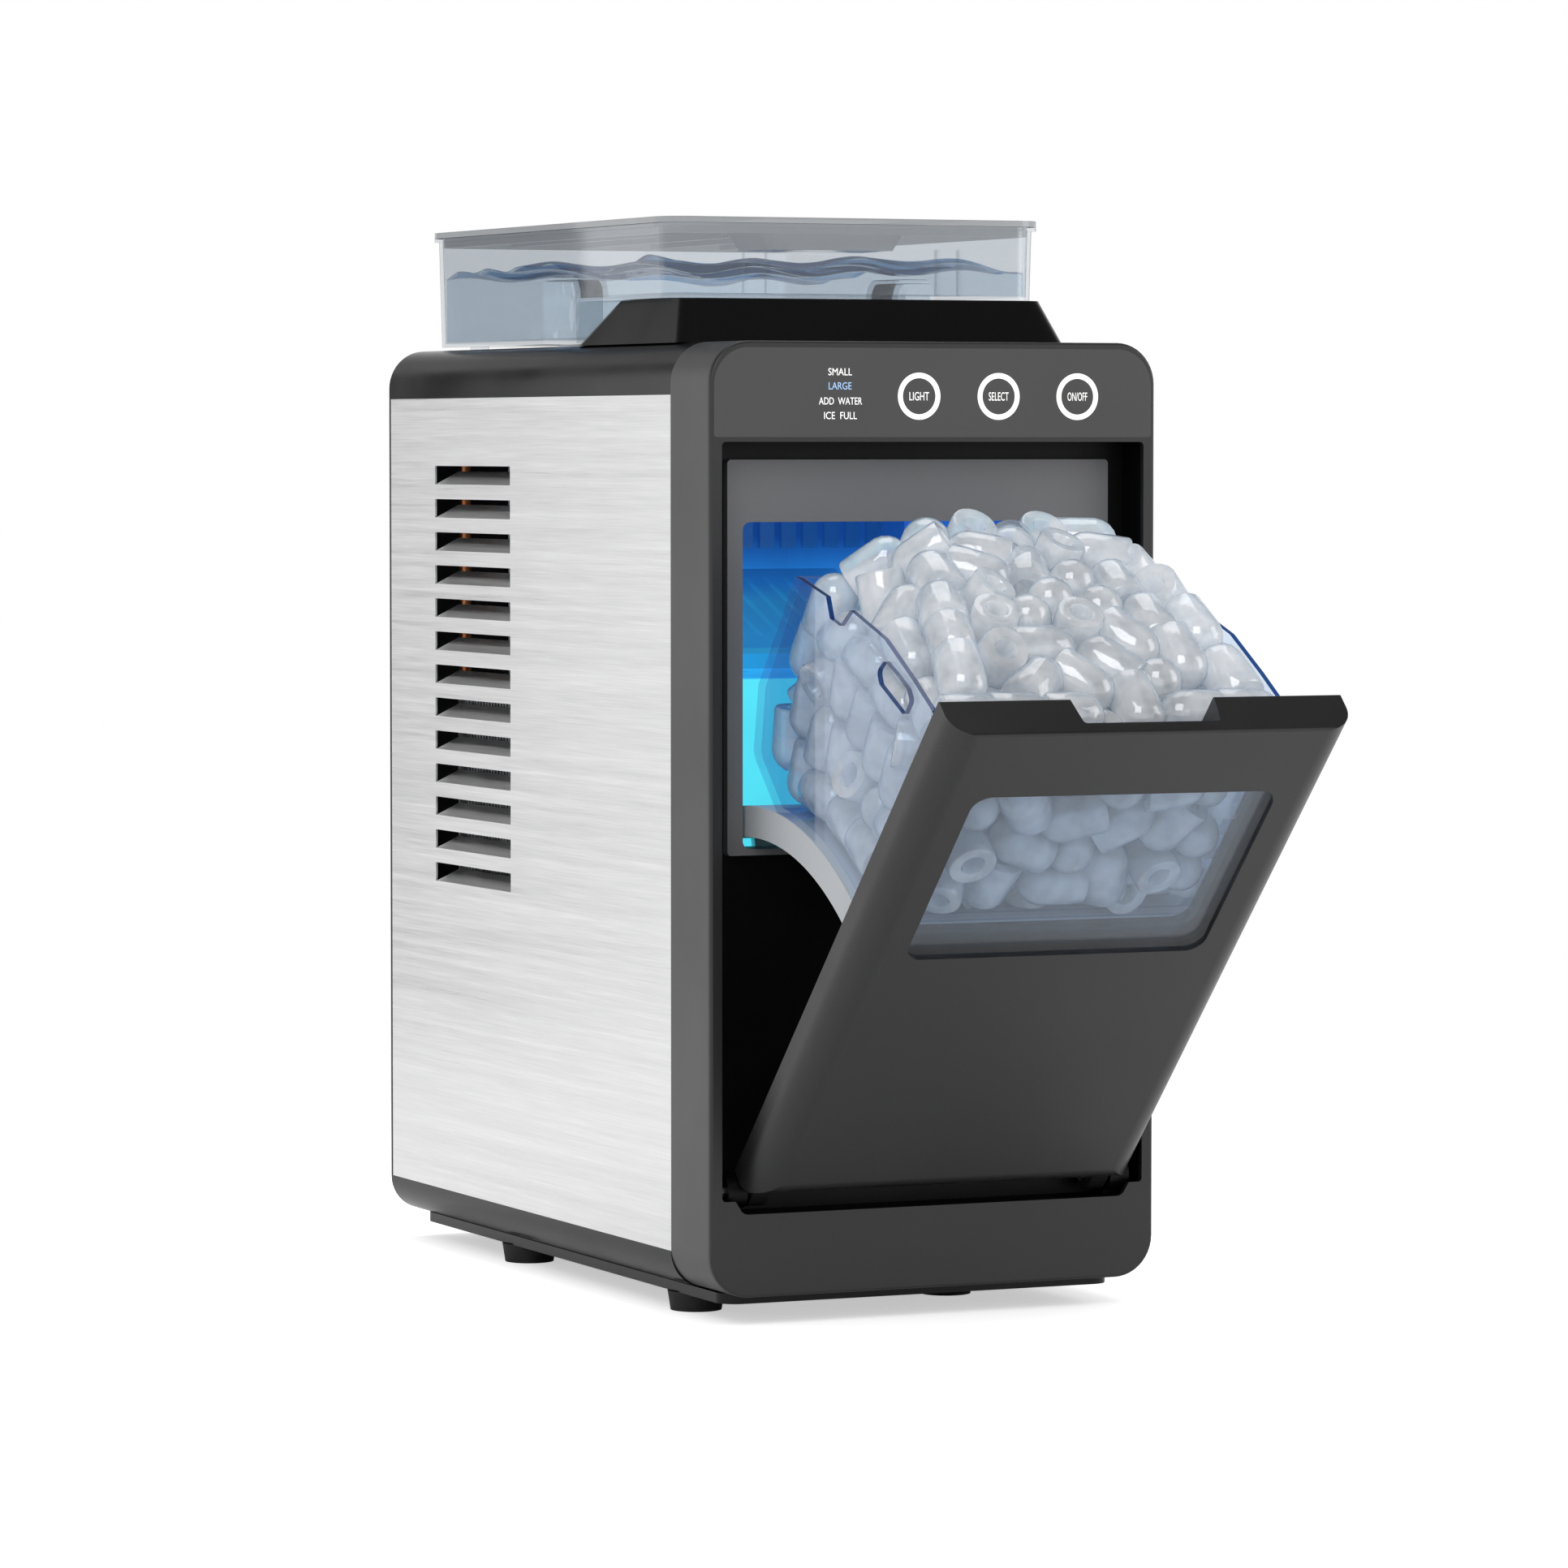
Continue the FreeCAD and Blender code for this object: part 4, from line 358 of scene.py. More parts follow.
# %% Lit liner
def lit_liner(name, roof, floor, strength):
    made, tree = material(name)
    place = add(tree, "ShaderNodeTexCoord").outputs["Object"]
    height = add(tree, "ShaderNodeSeparateXYZ", Vector=place).outputs["Z"]
    share = add(tree, "ShaderNodeMapRange", Value=height, From_Min=0.200, From_Max=0.400)
    # Glow colour by height is painted light: bright cyan low down, painted shade in deep blue near
    # the roof behind the works.
    shade = add(tree, "ShaderNodeValToRGB", Fac=share.outputs["Result"])
    stops = shade.color_ramp.elements
    stops[0].color, stops[0].position = linear(floor), 0.0
    stops[1].color, stops[1].position = linear(roof), 0.86
    for spot, colour in ((0.70, floor), (0.745, "#2A86E0")):
        stop = stops.new(spot)
        stop.color = linear(colour)
    cloud = add(tree, "ShaderNodeTexNoise", Vector=place, Scale=16.0, Detail=2.0)
    level = add(tree, "ShaderNodeMapRange", Value=cloud.outputs["Fac"], From_Min=0.3,
                From_Max=0.7, To_Min=strength * 0.85, To_Max=strength * 1.1)
    # The dark blue base is painted shade as well: the liner itself is white.
    skin = add(tree, "ShaderNodeBsdfPrincipled", Base_Color=linear("#24506E"), Roughness=0.32,
               Emission_Color=shade.outputs["Color"], Emission_Strength=level.outputs["Result"])
    finish_with(tree, skin.outputs["BSDF"])
    return made


dress(LINER_WHITE, "chamber_liner")
LINER = nodes["chamber_liner"].data
# Two painted glows on the liner: lamp light in the chamber, and deeper blue painted shade in the
# works bay behind.
LINER.materials.append(lit_liner("liner_lit_cyan", "#1D55B4", "#58E8F6", 0.86))
LINER.materials.append(lit_liner("liner_lit_deep_blue", "#143F8C", "#2FA6E8", 0.75))
# The works parts take a painted glow too, though they are no lamp.
dress(lit_liner("works_lit_blue", "#18489C", "#3AA8EA", 0.42), "ice_chute", "ice_rake",
      "water_tray", "evaporator")
ROOMS = ((1, at(-98.0, 20, 147), at(98.0, 201, 401)), (2, at(-79, 192, 301), at(79, 346, 454)))
for polygon in LINER.polygons:
    for index, room_low, room_high in ROOMS:
        spot = polygon.center
        within = all(a <= c <= b for a, c, b in zip(room_low, spot, room_high))
        if within and polygon.normal.dot((room_low + room_high) / 2 - spot) > 0:
            polygon.material_index = index

# %% [markdown]
# ## Clear plastics
# The bin, the door's pane and the tank are clear polystyrene and SAN, 2 to 3 mm thick.  Real
# refraction through two surfaces of each wall costs many samples and mostly darkens the
# picture, so each wall is a mix: mostly see-through with its own tint, plus a sharp surface
# reflection that grows towards the edges as Fresnel's law has it.

# %% Clear plastics
def clear_plastic(name, see, edge, gloss=0.04, matte_share=0.012, milky="#DCE6EE"):
    made, tree = material(name)
    place = add(tree, "ShaderNodeTexCoord").outputs["Object"]
    wave = add(tree, "ShaderNodeTexNoise", Vector=place, Scale=26.0, Detail=1.0)
    bump = add(tree, "ShaderNodeBump", Strength=0.05, Distance=0.0008,
               Height=wave.outputs["Fac"])
    through = add(tree, "ShaderNodeBsdfTransparent", Color=linear(see))
    facing = add(tree, "ShaderNodeLayerWeight", Blend=0.5, Normal=bump.outputs["Normal"])
    rim = add(tree, "ShaderNodeMapRange", {"interpolation_type": "SMOOTHSTEP"},
              Value=facing.outputs["Facing"], From_Min=0.68, From_Max=0.98)
    side = add(tree, "ShaderNodeBsdfTransparent", Color=linear(edge))
    tinted = add(tree, "ShaderNodeMixShader", Fac=rim.outputs["Result"],
                 in1=through.outputs["BSDF"], in2=side.outputs["BSDF"])
    front = add(tree, "ShaderNodeBsdfDiffuse", Color=linear(milky))
    behind = add(tree, "ShaderNodeBsdfTranslucent", Color=linear(milky))
    scatter = add(tree, "ShaderNodeMixShader", Fac=0.5, in1=front.outputs["BSDF"],
                  in2=behind.outputs["BSDF"])
    hazed = add(tree, "ShaderNodeMixShader", Fac=matte_share, in1=tinted.outputs["Shader"],
                in2=scatter.outputs["Shader"])
    shine = add(tree, "ShaderNodeBsdfGlossy", Color=(1, 1, 1, 1), Roughness=gloss,
                Normal=bump.outputs["Normal"])
    share = sheen_share(tree, 0.04, bump.outputs["Normal"])
    skin = add(tree, "ShaderNodeMixShader", Fac=share,
               in1=hazed.outputs["Shader"], in2=shine.outputs["BSDF"])
    finish_with(tree, skin.outputs["Shader"])
    return made


def edge_finish(finish, name, half_outer, wall):
    """Gives a clear part's cut edges, in its side walls, the darker finish of edge-on plastic."""
    mesh = nodes[name].data
    mesh.materials.append(finish)
    count = 0
    for polygon in mesh.polygons:
        across = abs(polygon.center.x)
        if abs(polygon.normal.x) < 0.3 and half_outer - wall < across < half_outer:
            polygon.material_index = len(mesh.materials) - 1
            count += 1
    print(name, "edge faces:", count)


BIN_CLEAR = clear_plastic("polystyrene_clear_blue", "#EDF4FC", "#5F8FD0", milky="#BFD6F0")
BIN_EDGE = clear_plastic("polystyrene_edge_blue", "#28508C", "#0C1F40", matte_share=0.0)
PANE_CLEAR = clear_plastic("polystyrene_clear_pane", "#F4F8FC", "#A9C2DE")
TANK_SMOKE = clear_plastic("san_smoky_moulded", "#F1F3F5", "#474C52", matte_share=0.012,
                           milky="#8E979F")
LID_SMOKE = clear_plastic("san_smoky_lid", "#E2E4E6", "#5A5D60", matte_share=0.62, milky="#B9BBBD")
dress(BIN_CLEAR, "ice_bin")
edge_finish(BIN_EDGE, "ice_bin", 0.0903, 0.0026)
dress(PANE_CLEAR, "door_window")
dress(TANK_SMOKE, "tank_body")
dress(LID_SMOKE, "tank_lid")


def let_light_in(*pieces):
    """Clear walls throw no shadow of their own, so lamp light reaches what is behind them."""
    for piece in pieces:
        piece.visible_shadow = False
        piece.visible_diffuse = False


let_light_in(*(nodes[name] for name in ("ice_bin", "door_window", "tank_body", "tank_lid")))

# %% [markdown]
# ## Bullet ice
# Each piece freezes round a metal finger: a dome-ended cylinder with a blind hole where the
# finger was.  A turned profile makes one; lathing a short list of radii is simpler than
# carving.  Ice is clear at the skin and cloudy at the core, so the finish mixes glass with a
# little white scatter.

# %% One ice piece
ICE_R = 0.0121
ICE_LEN = 0.0325
ICE_HOLE = 0.0050


def ice_piece_mesh(sides=20):
    outer = [(ICE_R * math.sin(a), ICE_LEN / 2 - ICE_R + ICE_R * math.cos(a))
             for a in (math.radians(d) for d in (12, 30, 48, 66, 84))]
    profile = [(0.0, ICE_LEN / 2)] + outer + [
        (ICE_R * 1.0, -ICE_LEN * 0.18), (ICE_R * 0.99, -ICE_LEN / 2 + 0.0012),
        (ICE_R * 0.94, -ICE_LEN / 2 + 0.0002), (ICE_R * 0.86, -ICE_LEN / 2),
        (ICE_HOLE * 1.20, -ICE_LEN / 2 + 0.0003), (ICE_HOLE * 1.06, -ICE_LEN / 2 + 0.0012),
        (ICE_HOLE * 0.8, ICE_LEN * 0.10), (0.0, ICE_LEN * 0.22)]
    made = bmesh.new()
    rings = []
    for radius, z in profile:
        if radius == 0.0:
            rings.append([made.verts.new((0, 0, z))])
            continue
        rings.append([made.verts.new((radius * math.cos(t), radius * math.sin(t), z))
                      for t in (2 * math.pi * i / sides for i in range(sides))])
    for low, high in zip(rings, rings[1:]):
        for i in range(sides):
            j = (i + 1) % sides
            corners = [low[i % len(low)], low[j % len(low)], high[j % len(high)],
                       high[i % len(high)]]
            unique = list(dict.fromkeys(corners))
            if len(unique) > 2:
                made.faces.new(unique)
    bmesh.ops.recalc_face_normals(made, faces=made.faces)
    points = np.array([v.co[:] for v in made.verts])
    faces = [[v.index for v in f.verts] for f in made.faces]
    made.verts.index_update()
    faces = [[v.index for v in f.verts] for f in made.faces]
    made.free()
    return points, faces


ICE_POINTS, ICE_FACES = ice_piece_mesh()
print("one ice piece:", len(ICE_POINTS), "points")


# %% [markdown]
# ## Packing the bin
# A few hundred pieces have to lie in the bin without passing through each other.  Blender's
# rigid bodies could drop them, but a small solver written here is quicker and gives the same
# heap each time: each piece is two balls on a short stick, and every round pushes
# overlapping balls apart, pulls everything down, and puts strays back inside the walls.

# %% Pack the ice
BALL = ICE_R + 0.0001
STICK = ICE_LEN / 2 - ICE_R - 0.0004
BIN_HALF = 0.0877
ARC_LOW = 0.1868
HEAP_R = 0.3165
REAR = [(153.0, 217.0), (155.5, 218.0), (173.4, 243.7), (179.0, 310.0)]
FRONT_IN = 19.8
BAY_LOW, BAY_HIGH, BAY_DEEP = 0.1875, 0.2895, 0.0166
CREST_Y = (-0.190, -0.150, -0.080, -0.035, -0.012)
CREST_R = (0.317, 0.324, 0.334, 0.328, 0.3165)
TOP_EDGE = [(19.0, 372.0), (35.0, 371.5), (60.0, 366.5), (93.0, 358.5), (127.8, 341.8),
            (151.1, 327.3), (181.7, 310.0)]


def shut_yz(points):
    """Open-door places turned back to shut-door millimetres (y, z)."""
    y = points[:, 1] - PIVOT.y
    z = points[:, 2] - PIVOT.z
    c, s = math.cos(DOOR_OPEN), math.sin(DOOR_OPEN)
    return y * c + z * s, -y * s + z * c


def open_yz(y, z):
    c, s = math.cos(DOOR_OPEN), math.sin(DOOR_OPEN)
    return PIVOT.y + y * c - z * s, PIVOT.z + y * s + z * c


def wall_lines():
    """Bin walls as (point, inward normal) in shut-door metres from the pivot."""
    lines = []
    py, pz = (PIVOT.y - FRONT_Y) / MM, PIVOT.z / MM
    for (y0, z0), (y1, z1) in zip(REAR, REAR[1:]):
        d = Vector((y1 - y0, z1 - z0)).normalized()
        lines.append(((y0 - py) * MM, (z0 - pz) * MM, -d.y, d.x))
    lines.append(((FRONT_IN - py) * MM, 0.0, 1.0, 0.0))
    lines.append((0.0, (217.0 - pz) * MM, 0.0, 1.0))
    return lines


def pack_ice(seed, rounds=260):
    rng = np.random.default_rng(seed)
    py, pz = (PIVOT.y - FRONT_Y) / MM, PIVOT.z / MM
    starts = []
    step = 0.0232
    for layer, z in enumerate(np.arange(0.150, 0.345, step)):
        for row, y in enumerate(np.arange(-0.004, 0.185, step)):
            for x in np.arange(-0.076, 0.090, step):
                radius = math.hypot(y, z)
                if not ARC_LOW + 0.006 < radius < HEAP_R + 0.012:
                    continue
                starts.append((x + (layer % 2) * 0.006, y + (layer % 3) * 0.004, z))
    starts = np.array(starts)
    inside = (starts[:, 1] > (FRONT_IN - py) * MM - 0.006) & (starts[:, 2] > 0.158)
    rear_limit = np.interp(starts[:, 2], [0.152, 0.179, 0.245], [0.143, 0.160, 0.166])
    inside &= starts[:, 1] < rear_limit - 0.006
    starts = starts[inside]
    count = len(starts)
    centre = np.empty((count, 3))
    centre[:, 0] = starts[:, 0]
    centre[:, 1], centre[:, 2] = open_yz(starts[:, 1], starts[:, 2])
    centre += rng.normal(0, 0.0022, centre.shape)
    way = rng.normal(0, 1, (count, 3))
    way /= np.linalg.norm(way, axis=1)[:, None]
    balls = np.concatenate([centre + way * STICK, centre - way * STICK])
    mate = np.concatenate([np.arange(count) + count, np.arange(count)])
    lines = wall_lines()
    top_y = np.array([p[0] - py for p in TOP_EDGE]) * MM
    top_z = np.array([p[1] - pz for p in TOP_EDGE]) * MM
    for turn in range(rounds):
        fall = 0.0006 if turn < rounds * 0.7 else 0.0001
        balls[:, 2] -= fall
        for _ in range(3):
            gap = balls[:, None, :] - balls[None, :, :]
            dist = np.sqrt((gap ** 2).sum(2)) + np.eye(len(balls))
            dist[np.arange(len(balls)), mate] = 1.0
            over = np.clip(2 * BALL - dist, 0, None)
            push = (gap / dist[:, :, None] * (over * 0.5)[:, :, None])
            hits = (over > 0).sum(1)
            balls += push.sum(1) / np.maximum(1, np.sqrt(hits))[:, None]
            y, z = shut_yz(balls)
            in_bay = ((np.abs(balls[:, 0]) < 0.0742 - BALL) & (z > BAY_LOW + BALL)
                      & (z < BAY_HIGH - BALL))
            for wy, wz, ny, nz in lines:
                at_front = ny == 1.0
                room = np.where(in_bay & at_front, BAY_DEEP, 0.0)
                short = BALL - room - ((y - wy) * ny + (z - wz) * nz)
                move = np.clip(short, 0, None)
                y += ny * move
                z += nz * move
            radius = np.hypot(y, z)
            outside = np.interp(balls[:, 1] - FRONT_Y, CREST_Y, CREST_R)
            grow = np.maximum(1.0, (ARC_LOW + BALL) / radius) * np.minimum(
                1.0, (outside - BALL) / radius)
            y, z = y * grow, z * grow
            balls[:, 1], balls[:, 2] = open_yz(y, z)
            edge = np.interp(y, top_y, top_z)
            above = np.clip(z - edge + 0.006, 0, None)
            half = BIN_HALF - BALL - above * 0.9
            balls[:, 0] = np.clip(balls[:, 0], -half, half)
            a, b = balls[:count], balls[count:]
            middle, stick = (a + b) / 2, a - b
            stick /= np.linalg.norm(stick, axis=1)[:, None] + 1e-9
            balls = np.concatenate([middle + stick * STICK, middle - stick * STICK])
    a, b = balls[:count], balls[count:]
    gap = balls[:, None, :] - balls[None, :, :]
    dist = np.sqrt((gap ** 2).sum(2)) + np.eye(len(balls))
    dist[np.arange(len(balls)), mate] = 1.0
    print("ice pieces:", count, "worst overlap mm:", round((2 * BALL - dist).max() * 1000, 2))
    return (a + b) / 2, (a - b) / np.linalg.norm(a - b, axis=1)[:, None]


ice_centres, ice_ways = pack_ice(7)

# %% [markdown]
# ## Ice finish and the heap in two pieces
# All pieces in the bin are joined into two meshes, the heap and its crest, because they ride on
# the door together and few meshes are quick to render.

# %% Build the heap
def ice_finish():
    made, tree = material("ice_clear_with_cloudy_core")
    place = add(tree, "ShaderNodeTexCoord")
    cloud = add(tree, "ShaderNodeTexNoise", Vector=place.outputs["Object"], Scale=70.0, Detail=2.0)
    melt = add(tree, "ShaderNodeTexNoise", Vector=place.outputs["Object"], Scale=220.0, Detail=1.0)
    bump = add(tree, "ShaderNodeBump", Strength=0.22, Distance=0.0008, Height=melt.outputs["Fac"])
    # The tone by viewing angle is painted light: a darker ring near each outline is painted shade
    # and the bright rim a painted highlight, standing in for light bent through clear ice.
    facing = add(tree, "ShaderNodeLayerWeight", Blend=0.45, Normal=bump.outputs["Normal"])
    tone = add(tree, "ShaderNodeValToRGB", Fac=facing.outputs["Facing"])
    stops = tone.color_ramp.elements
    stops[0].color, stops[0].position = linear("#FFFFFF"), 0.0
    stops[1].color, stops[1].position = linear("#F6FAFF"), 1.0
    for spot, colour in ((0.35, "#FFFFFF"), (0.60, "#EAF1F8"), (0.80, "#B4C5D8"), (0.93, "#F2F7FC")):
        stop = stops.new(spot)
        stop.color = linear(colour)
    straight = add(tree, "ShaderNodeBsdfTransparent", Color=linear("#F4F9FE"))
    bent = add(tree, "ShaderNodeBsdfRefraction", Color=linear("#F8FBFF"), Roughness=0.02,
               IOR=1.28, Normal=bump.outputs["Normal"])
    through = add(tree, "ShaderNodeMixShader", Fac=0.55, in1=straight.outputs["BSDF"],
                  in2=bent.outputs["BSDF"])
    white = add(tree, "ShaderNodeBsdfDiffuse", Color=tone.outputs["Color"],
                Normal=bump.outputs["Normal"])
    glow = add(tree, "ShaderNodeBsdfTranslucent", Color=tone.outputs["Color"])
    milk = add(tree, "ShaderNodeMixShader", Fac=0.45, in1=white.outputs["BSDF"],
               in2=glow.outputs["BSDF"])
    amount = add(tree, "ShaderNodeMapRange", Value=cloud.outputs["Fac"], From_Min=0.35,
                 From_Max=0.65, To_Min=0.40, To_Max=0.66)
    core = add(tree, "ShaderNodeMixShader", Fac=amount.outputs["Result"],
               in1=through.outputs["Shader"], in2=milk.outputs["Shader"])
    shine = add(tree, "ShaderNodeBsdfGlossy", Color=(1, 1, 1, 1), Roughness=0.06,
                Normal=bump.outputs["Normal"])
    share = sheen_share(tree, 0.09, bump.outputs["Normal"])
    skin = add(tree, "ShaderNodeMixShader", Fac=share, in1=core.outputs["Shader"],
               in2=shine.outputs["BSDF"])
    finish_with(tree, skin.outputs["Shader"])
    return made


def heap(name, centres, ways, seed):
    rng = random.Random(seed)
    points, faces, places = [], [], []
    around = np.arctan2(ICE_POINTS[:, 1], ICE_POINTS[:, 0]) / math.tau + 0.5
    along = ICE_POINTS[:, 2] / ICE_LEN + 0.5
    for centre, way in zip(centres, ways):
        turn = Vector(way).to_track_quat("Z", "Y").to_matrix()
        size = rng.uniform(0.94, 1.0)
        spin = Matrix.Rotation(rng.uniform(0, math.tau), 3, "Z")
        whole = np.array(turn @ spin) * size
        offset = len(points)
        points.extend((ICE_POINTS @ whole.T + centre).tolist())
        faces.extend([[i + offset for i in f] for f in ICE_FACES])
        shift = rng.uniform(0, 90)
        places.extend(zip((around + shift).tolist(), (along + shift).tolist()))
    mesh = bpy.data.meshes.new(name)
    mesh.from_pydata(points, [], faces)
    layer = mesh.uv_layers.new(name="around_and_along")
    for loop in mesh.loops:
        layer.data[loop.index].uv = places[loop.vertex_index]
    mesh.shade_smooth()
    mesh.set_sharp_from_angle(angle=math.radians(42))
    made = bpy.data.objects.new(name, mesh)
    scene.collection.objects.link(made)
    return made


ICE = ice_finish()
radii = np.hypot(ice_centres[:, 1] - PIVOT.y, ice_centres[:, 2] - PIVOT.z)
is_crest = radii > HEAP_R - 0.013
ice = heap("ice_in_bin", ice_centres[~is_crest], ice_ways[~is_crest], 3)
crest = heap("ice_heap_crest", ice_centres[is_crest], ice_ways[is_crest], 4)
for piece in (ice, crest):
    piece.data.materials.append(ICE)
    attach(piece, "door")
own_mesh(crest)
print("crest pieces:", int(is_crest.sum()))

# %% [markdown]
# ## Water in the tank
# The tank is filled to a little over half.  The water is one closed body with a rippled top:
# a grid whose height follows a few crossed waves, closed by walls just inside the tank.

# %% Water body
def water_finish(name, see, steep, matte_share):
    made, tree = material(name)
    place = add(tree, "ShaderNodeTexCoord").outputs["Object"]
    ripple = add(tree, "ShaderNodeTexNoise", Vector=place, Scale=60.0, Detail=2.0)
    bump = add(tree, "ShaderNodeBump", Strength=0.25, Distance=0.001,
               Height=ripple.outputs["Fac"])
    # The blue tints, towards a grazing look and in the diffuse share, are painted reflection: clear
    # water has no blue of its own.
    clear = add(tree, "ShaderNodeBsdfTransparent", Color=linear(see))
    edge = add(tree, "ShaderNodeBsdfTransparent", Color=linear(steep))
    facing = add(tree, "ShaderNodeLayerWeight", Blend=0.5, Normal=bump.outputs["Normal"])
    rim = add(tree, "ShaderNodeMapRange", Value=facing.outputs["Facing"], From_Min=0.72,
              From_Max=1.0)
    through = add(tree, "ShaderNodeMixShader", Fac=rim.outputs["Result"],
                  in1=clear.outputs["BSDF"], in2=edge.outputs["BSDF"])
    shine = add(tree, "ShaderNodeBsdfGlossy", Color=(1, 1, 1, 1), Roughness=0.04,
                Normal=bump.outputs["Normal"])
    tint = add(tree, "ShaderNodeBsdfDiffuse", Color=linear(steep))
    some = add(tree, "ShaderNodeMixShader", Fac=matte_share, in1=through.outputs["Shader"],
               in2=tint.outputs["BSDF"])
    share = sheen_share(tree, 0.02, bump.outputs["Normal"])
    skin = add(tree, "ShaderNodeMixShader", Fac=share, in1=some.outputs["Shader"],
               in2=shine.outputs["BSDF"])
    finish_with(tree, skin.outputs["Shader"])
    return made


def water_body():
    low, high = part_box("tank_body")
    wall = 0.0045
    x0, x1 = low[0] + wall + 0.0012, high[0] - wall - 0.0012
    y0, y1 = FRONT_Y + 0.0940, FRONT_Y + 0.4005
    level = 0.5095
    step_y = FRONT_Y + 0.2095
    deep, shallow = 0.4742, 0.4945
    nx, ny = 48, 72
    made = bmesh.new()
    corner = 0.010
    top, bottom = [], []
    for j in range(ny + 1):
        y = y0 + (y1 - y0) * j / ny
        edge = min(y - y0, y1 - y)
        pull = corner - math.sqrt(max(0.0, corner ** 2 - max(0.0, corner - edge) ** 2))
        row_t, row_b = [], []
        for i in range(nx + 1):
            x = (x0 + pull) + (x1 - x0 - 2 * pull) * i / nx
            wave = (0.0022 * math.sin(46 * x + 30 * y) + 0.0016 * math.sin(110 * x - 52 * y + 1)
                    + 0.0011 * math.sin(40 * x + 150 * y + 2))
            row_t.append(made.verts.new((x, y, level + wave)))
            row_b.append(made.verts.new((x, y, shallow if y < step_y else deep)))
        top.append(row_t)
        bottom.append(row_b)
    for j in range(ny):
        for i in range(nx):
            made.faces.new((top[j][i], top[j][i + 1], top[j + 1][i + 1], top[j + 1][i]))
            made.faces.new((bottom[j][i], bottom[j + 1][i], bottom[j + 1][i + 1],
                            bottom[j][i + 1]))
    for j in range(ny):
        made.faces.new((top[j][0], top[j + 1][0], bottom[j + 1][0], bottom[j][0]))
        made.faces.new((top[j][nx], bottom[j][nx], bottom[j + 1][nx], top[j + 1][nx]))
    for i in range(nx):
        made.faces.new((top[0][i], bottom[0][i], bottom[0][i + 1], top[0][i + 1]))
        made.faces.new((top[ny][i], top[ny][i + 1], bottom[ny][i + 1], bottom[ny][i]))
    bmesh.ops.recalc_face_normals(made, faces=made.faces)
    mesh = bpy.data.meshes.new("tank_water")
    made.to_mesh(mesh)
    made.free()
    for polygon in mesh.polygons:
        polygon.use_smooth = abs(polygon.normal.z) > 0.7
        polygon.material_index = 1 if polygon.normal.z > 0.5 else 0
    water = bpy.data.objects.new("tank_water", mesh)
    scene.collection.objects.link(water)
    water.data.materials.append(water_finish("water_clean", "#F1F7FB", "#A9C6DF", 0.02))
    # The top's dark blue on the ripples is painted reflection.
    water.data.materials.append(water_finish("water_rippled_top", "#8DB8E0", "#0B3572", 0.16))
    return water


water = water_body()
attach(water, "tank")
let_light_in(water)

# %% [markdown]
# ## Words on the panel
# The words are printed in white and blue-white on the overlay.  Blender's own text makes
# them; each is laid flat on the plate, a hair in front so the two surfaces never share a
# plane, and turned into a thin mesh so that it stays sharp.

# %% Printed words
def word(name, text, x, z, cap_mm, finish, width_mm=None, spread=1.0):
    curve = bpy.data.curves.new(name, "FONT")
    curve.body = text
    curve.size = cap_mm * MM / 0.69
    curve.align_x = "CENTER"
    curve.align_y = "CENTER"
    curve.space_character = spread
    curve.extrude = 0.00004
    curve.resolution_u = 4
    holder = bpy.data.objects.new(name, curve)
    scene.collection.objects.link(holder)
    bpy.context.view_layer.update()
    mesh = bpy.data.meshes.new_from_object(holder)
    bpy.data.objects.remove(holder)
    xs = [v.co.x for v in mesh.vertices]
    ys = [v.co.y for v in mesh.vertices]
    wide = max(xs) - min(xs)
    squeeze = width_mm * MM / wide if width_mm else 1.0
    mid = ((max(xs) + min(xs)) / 2, (max(ys) + min(ys)) / 2)
    for v in mesh.vertices:
        v.co = Vector(((v.co.x - mid[0]) * squeeze + x * MM, FRONT_Y - 0.00006 - v.co.z,
                       (v.co.y - mid[1]) + z * MM))
    made = bpy.data.objects.new(name, mesh)
    scene.collection.objects.link(made)
    made.data.materials.append(finish)
    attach(made, "cabinet")
    return made


RING_Z = (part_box("touch_rings")[0][2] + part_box("touch_rings")[1][2]) / 2 / MM
RING_X = [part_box("touch_rings")[0][0] / MM + 11.25 + i * 42.35 for i in range(3)]
word("word_small", "SMALL", -50.5, 455.2, 3.4, PRINT_WHITE, 12.4)
word("word_large", "LARGE", -50.5, 448.5, 3.4, PRINT_BLUE, 12.0)
word("word_add_water", "ADD  WATER", -50.3, 441.3, 3.4, PRINT_WHITE, 22.6)
word("word_ice_full", "ICE  FULL", -50.3, 434.4, 3.4, PRINT_WHITE, 17.2)
word("word_light", "LIGHT", RING_X[0], RING_Z, 4.0, PRINT_WHITE, 10.4)
word("word_select", "SELECT", RING_X[1], RING_Z, 4.0, PRINT_WHITE, 10.6)
word("word_on_off", "ON/OFF", RING_X[2], RING_Z, 4.0, PRINT_WHITE, 10.6)
print("rings at", [round(x, 1) for x in RING_X], round(RING_Z, 1))

# %% [markdown]
# ## Chamber light
# The diodes' light is what turns the white liner blue, brightest on the side walls.  A small
# area lamp under the lamp cover and one in the works bay behind add to that gradient; the rest
# is painted into the liner's glow.

# %% Lamps inside the chamber
def lamp(name, kind, where, target, energy, colour, size, size_y=None):
    data = bpy.data.lights.new(name, kind)
    data.energy = energy
    data.color = colour
    if kind == "AREA":
        data.shape = "RECTANGLE"
        data.size = size
        data.size_y = size_y or size
    made = bpy.data.objects.new(name, data)
    made.location = where
    made.rotation_euler = (Vector(target) - Vector(where)).to_track_quat("-Z", "Y").to_euler()
    scene.collection.objects.link(made)
    return made


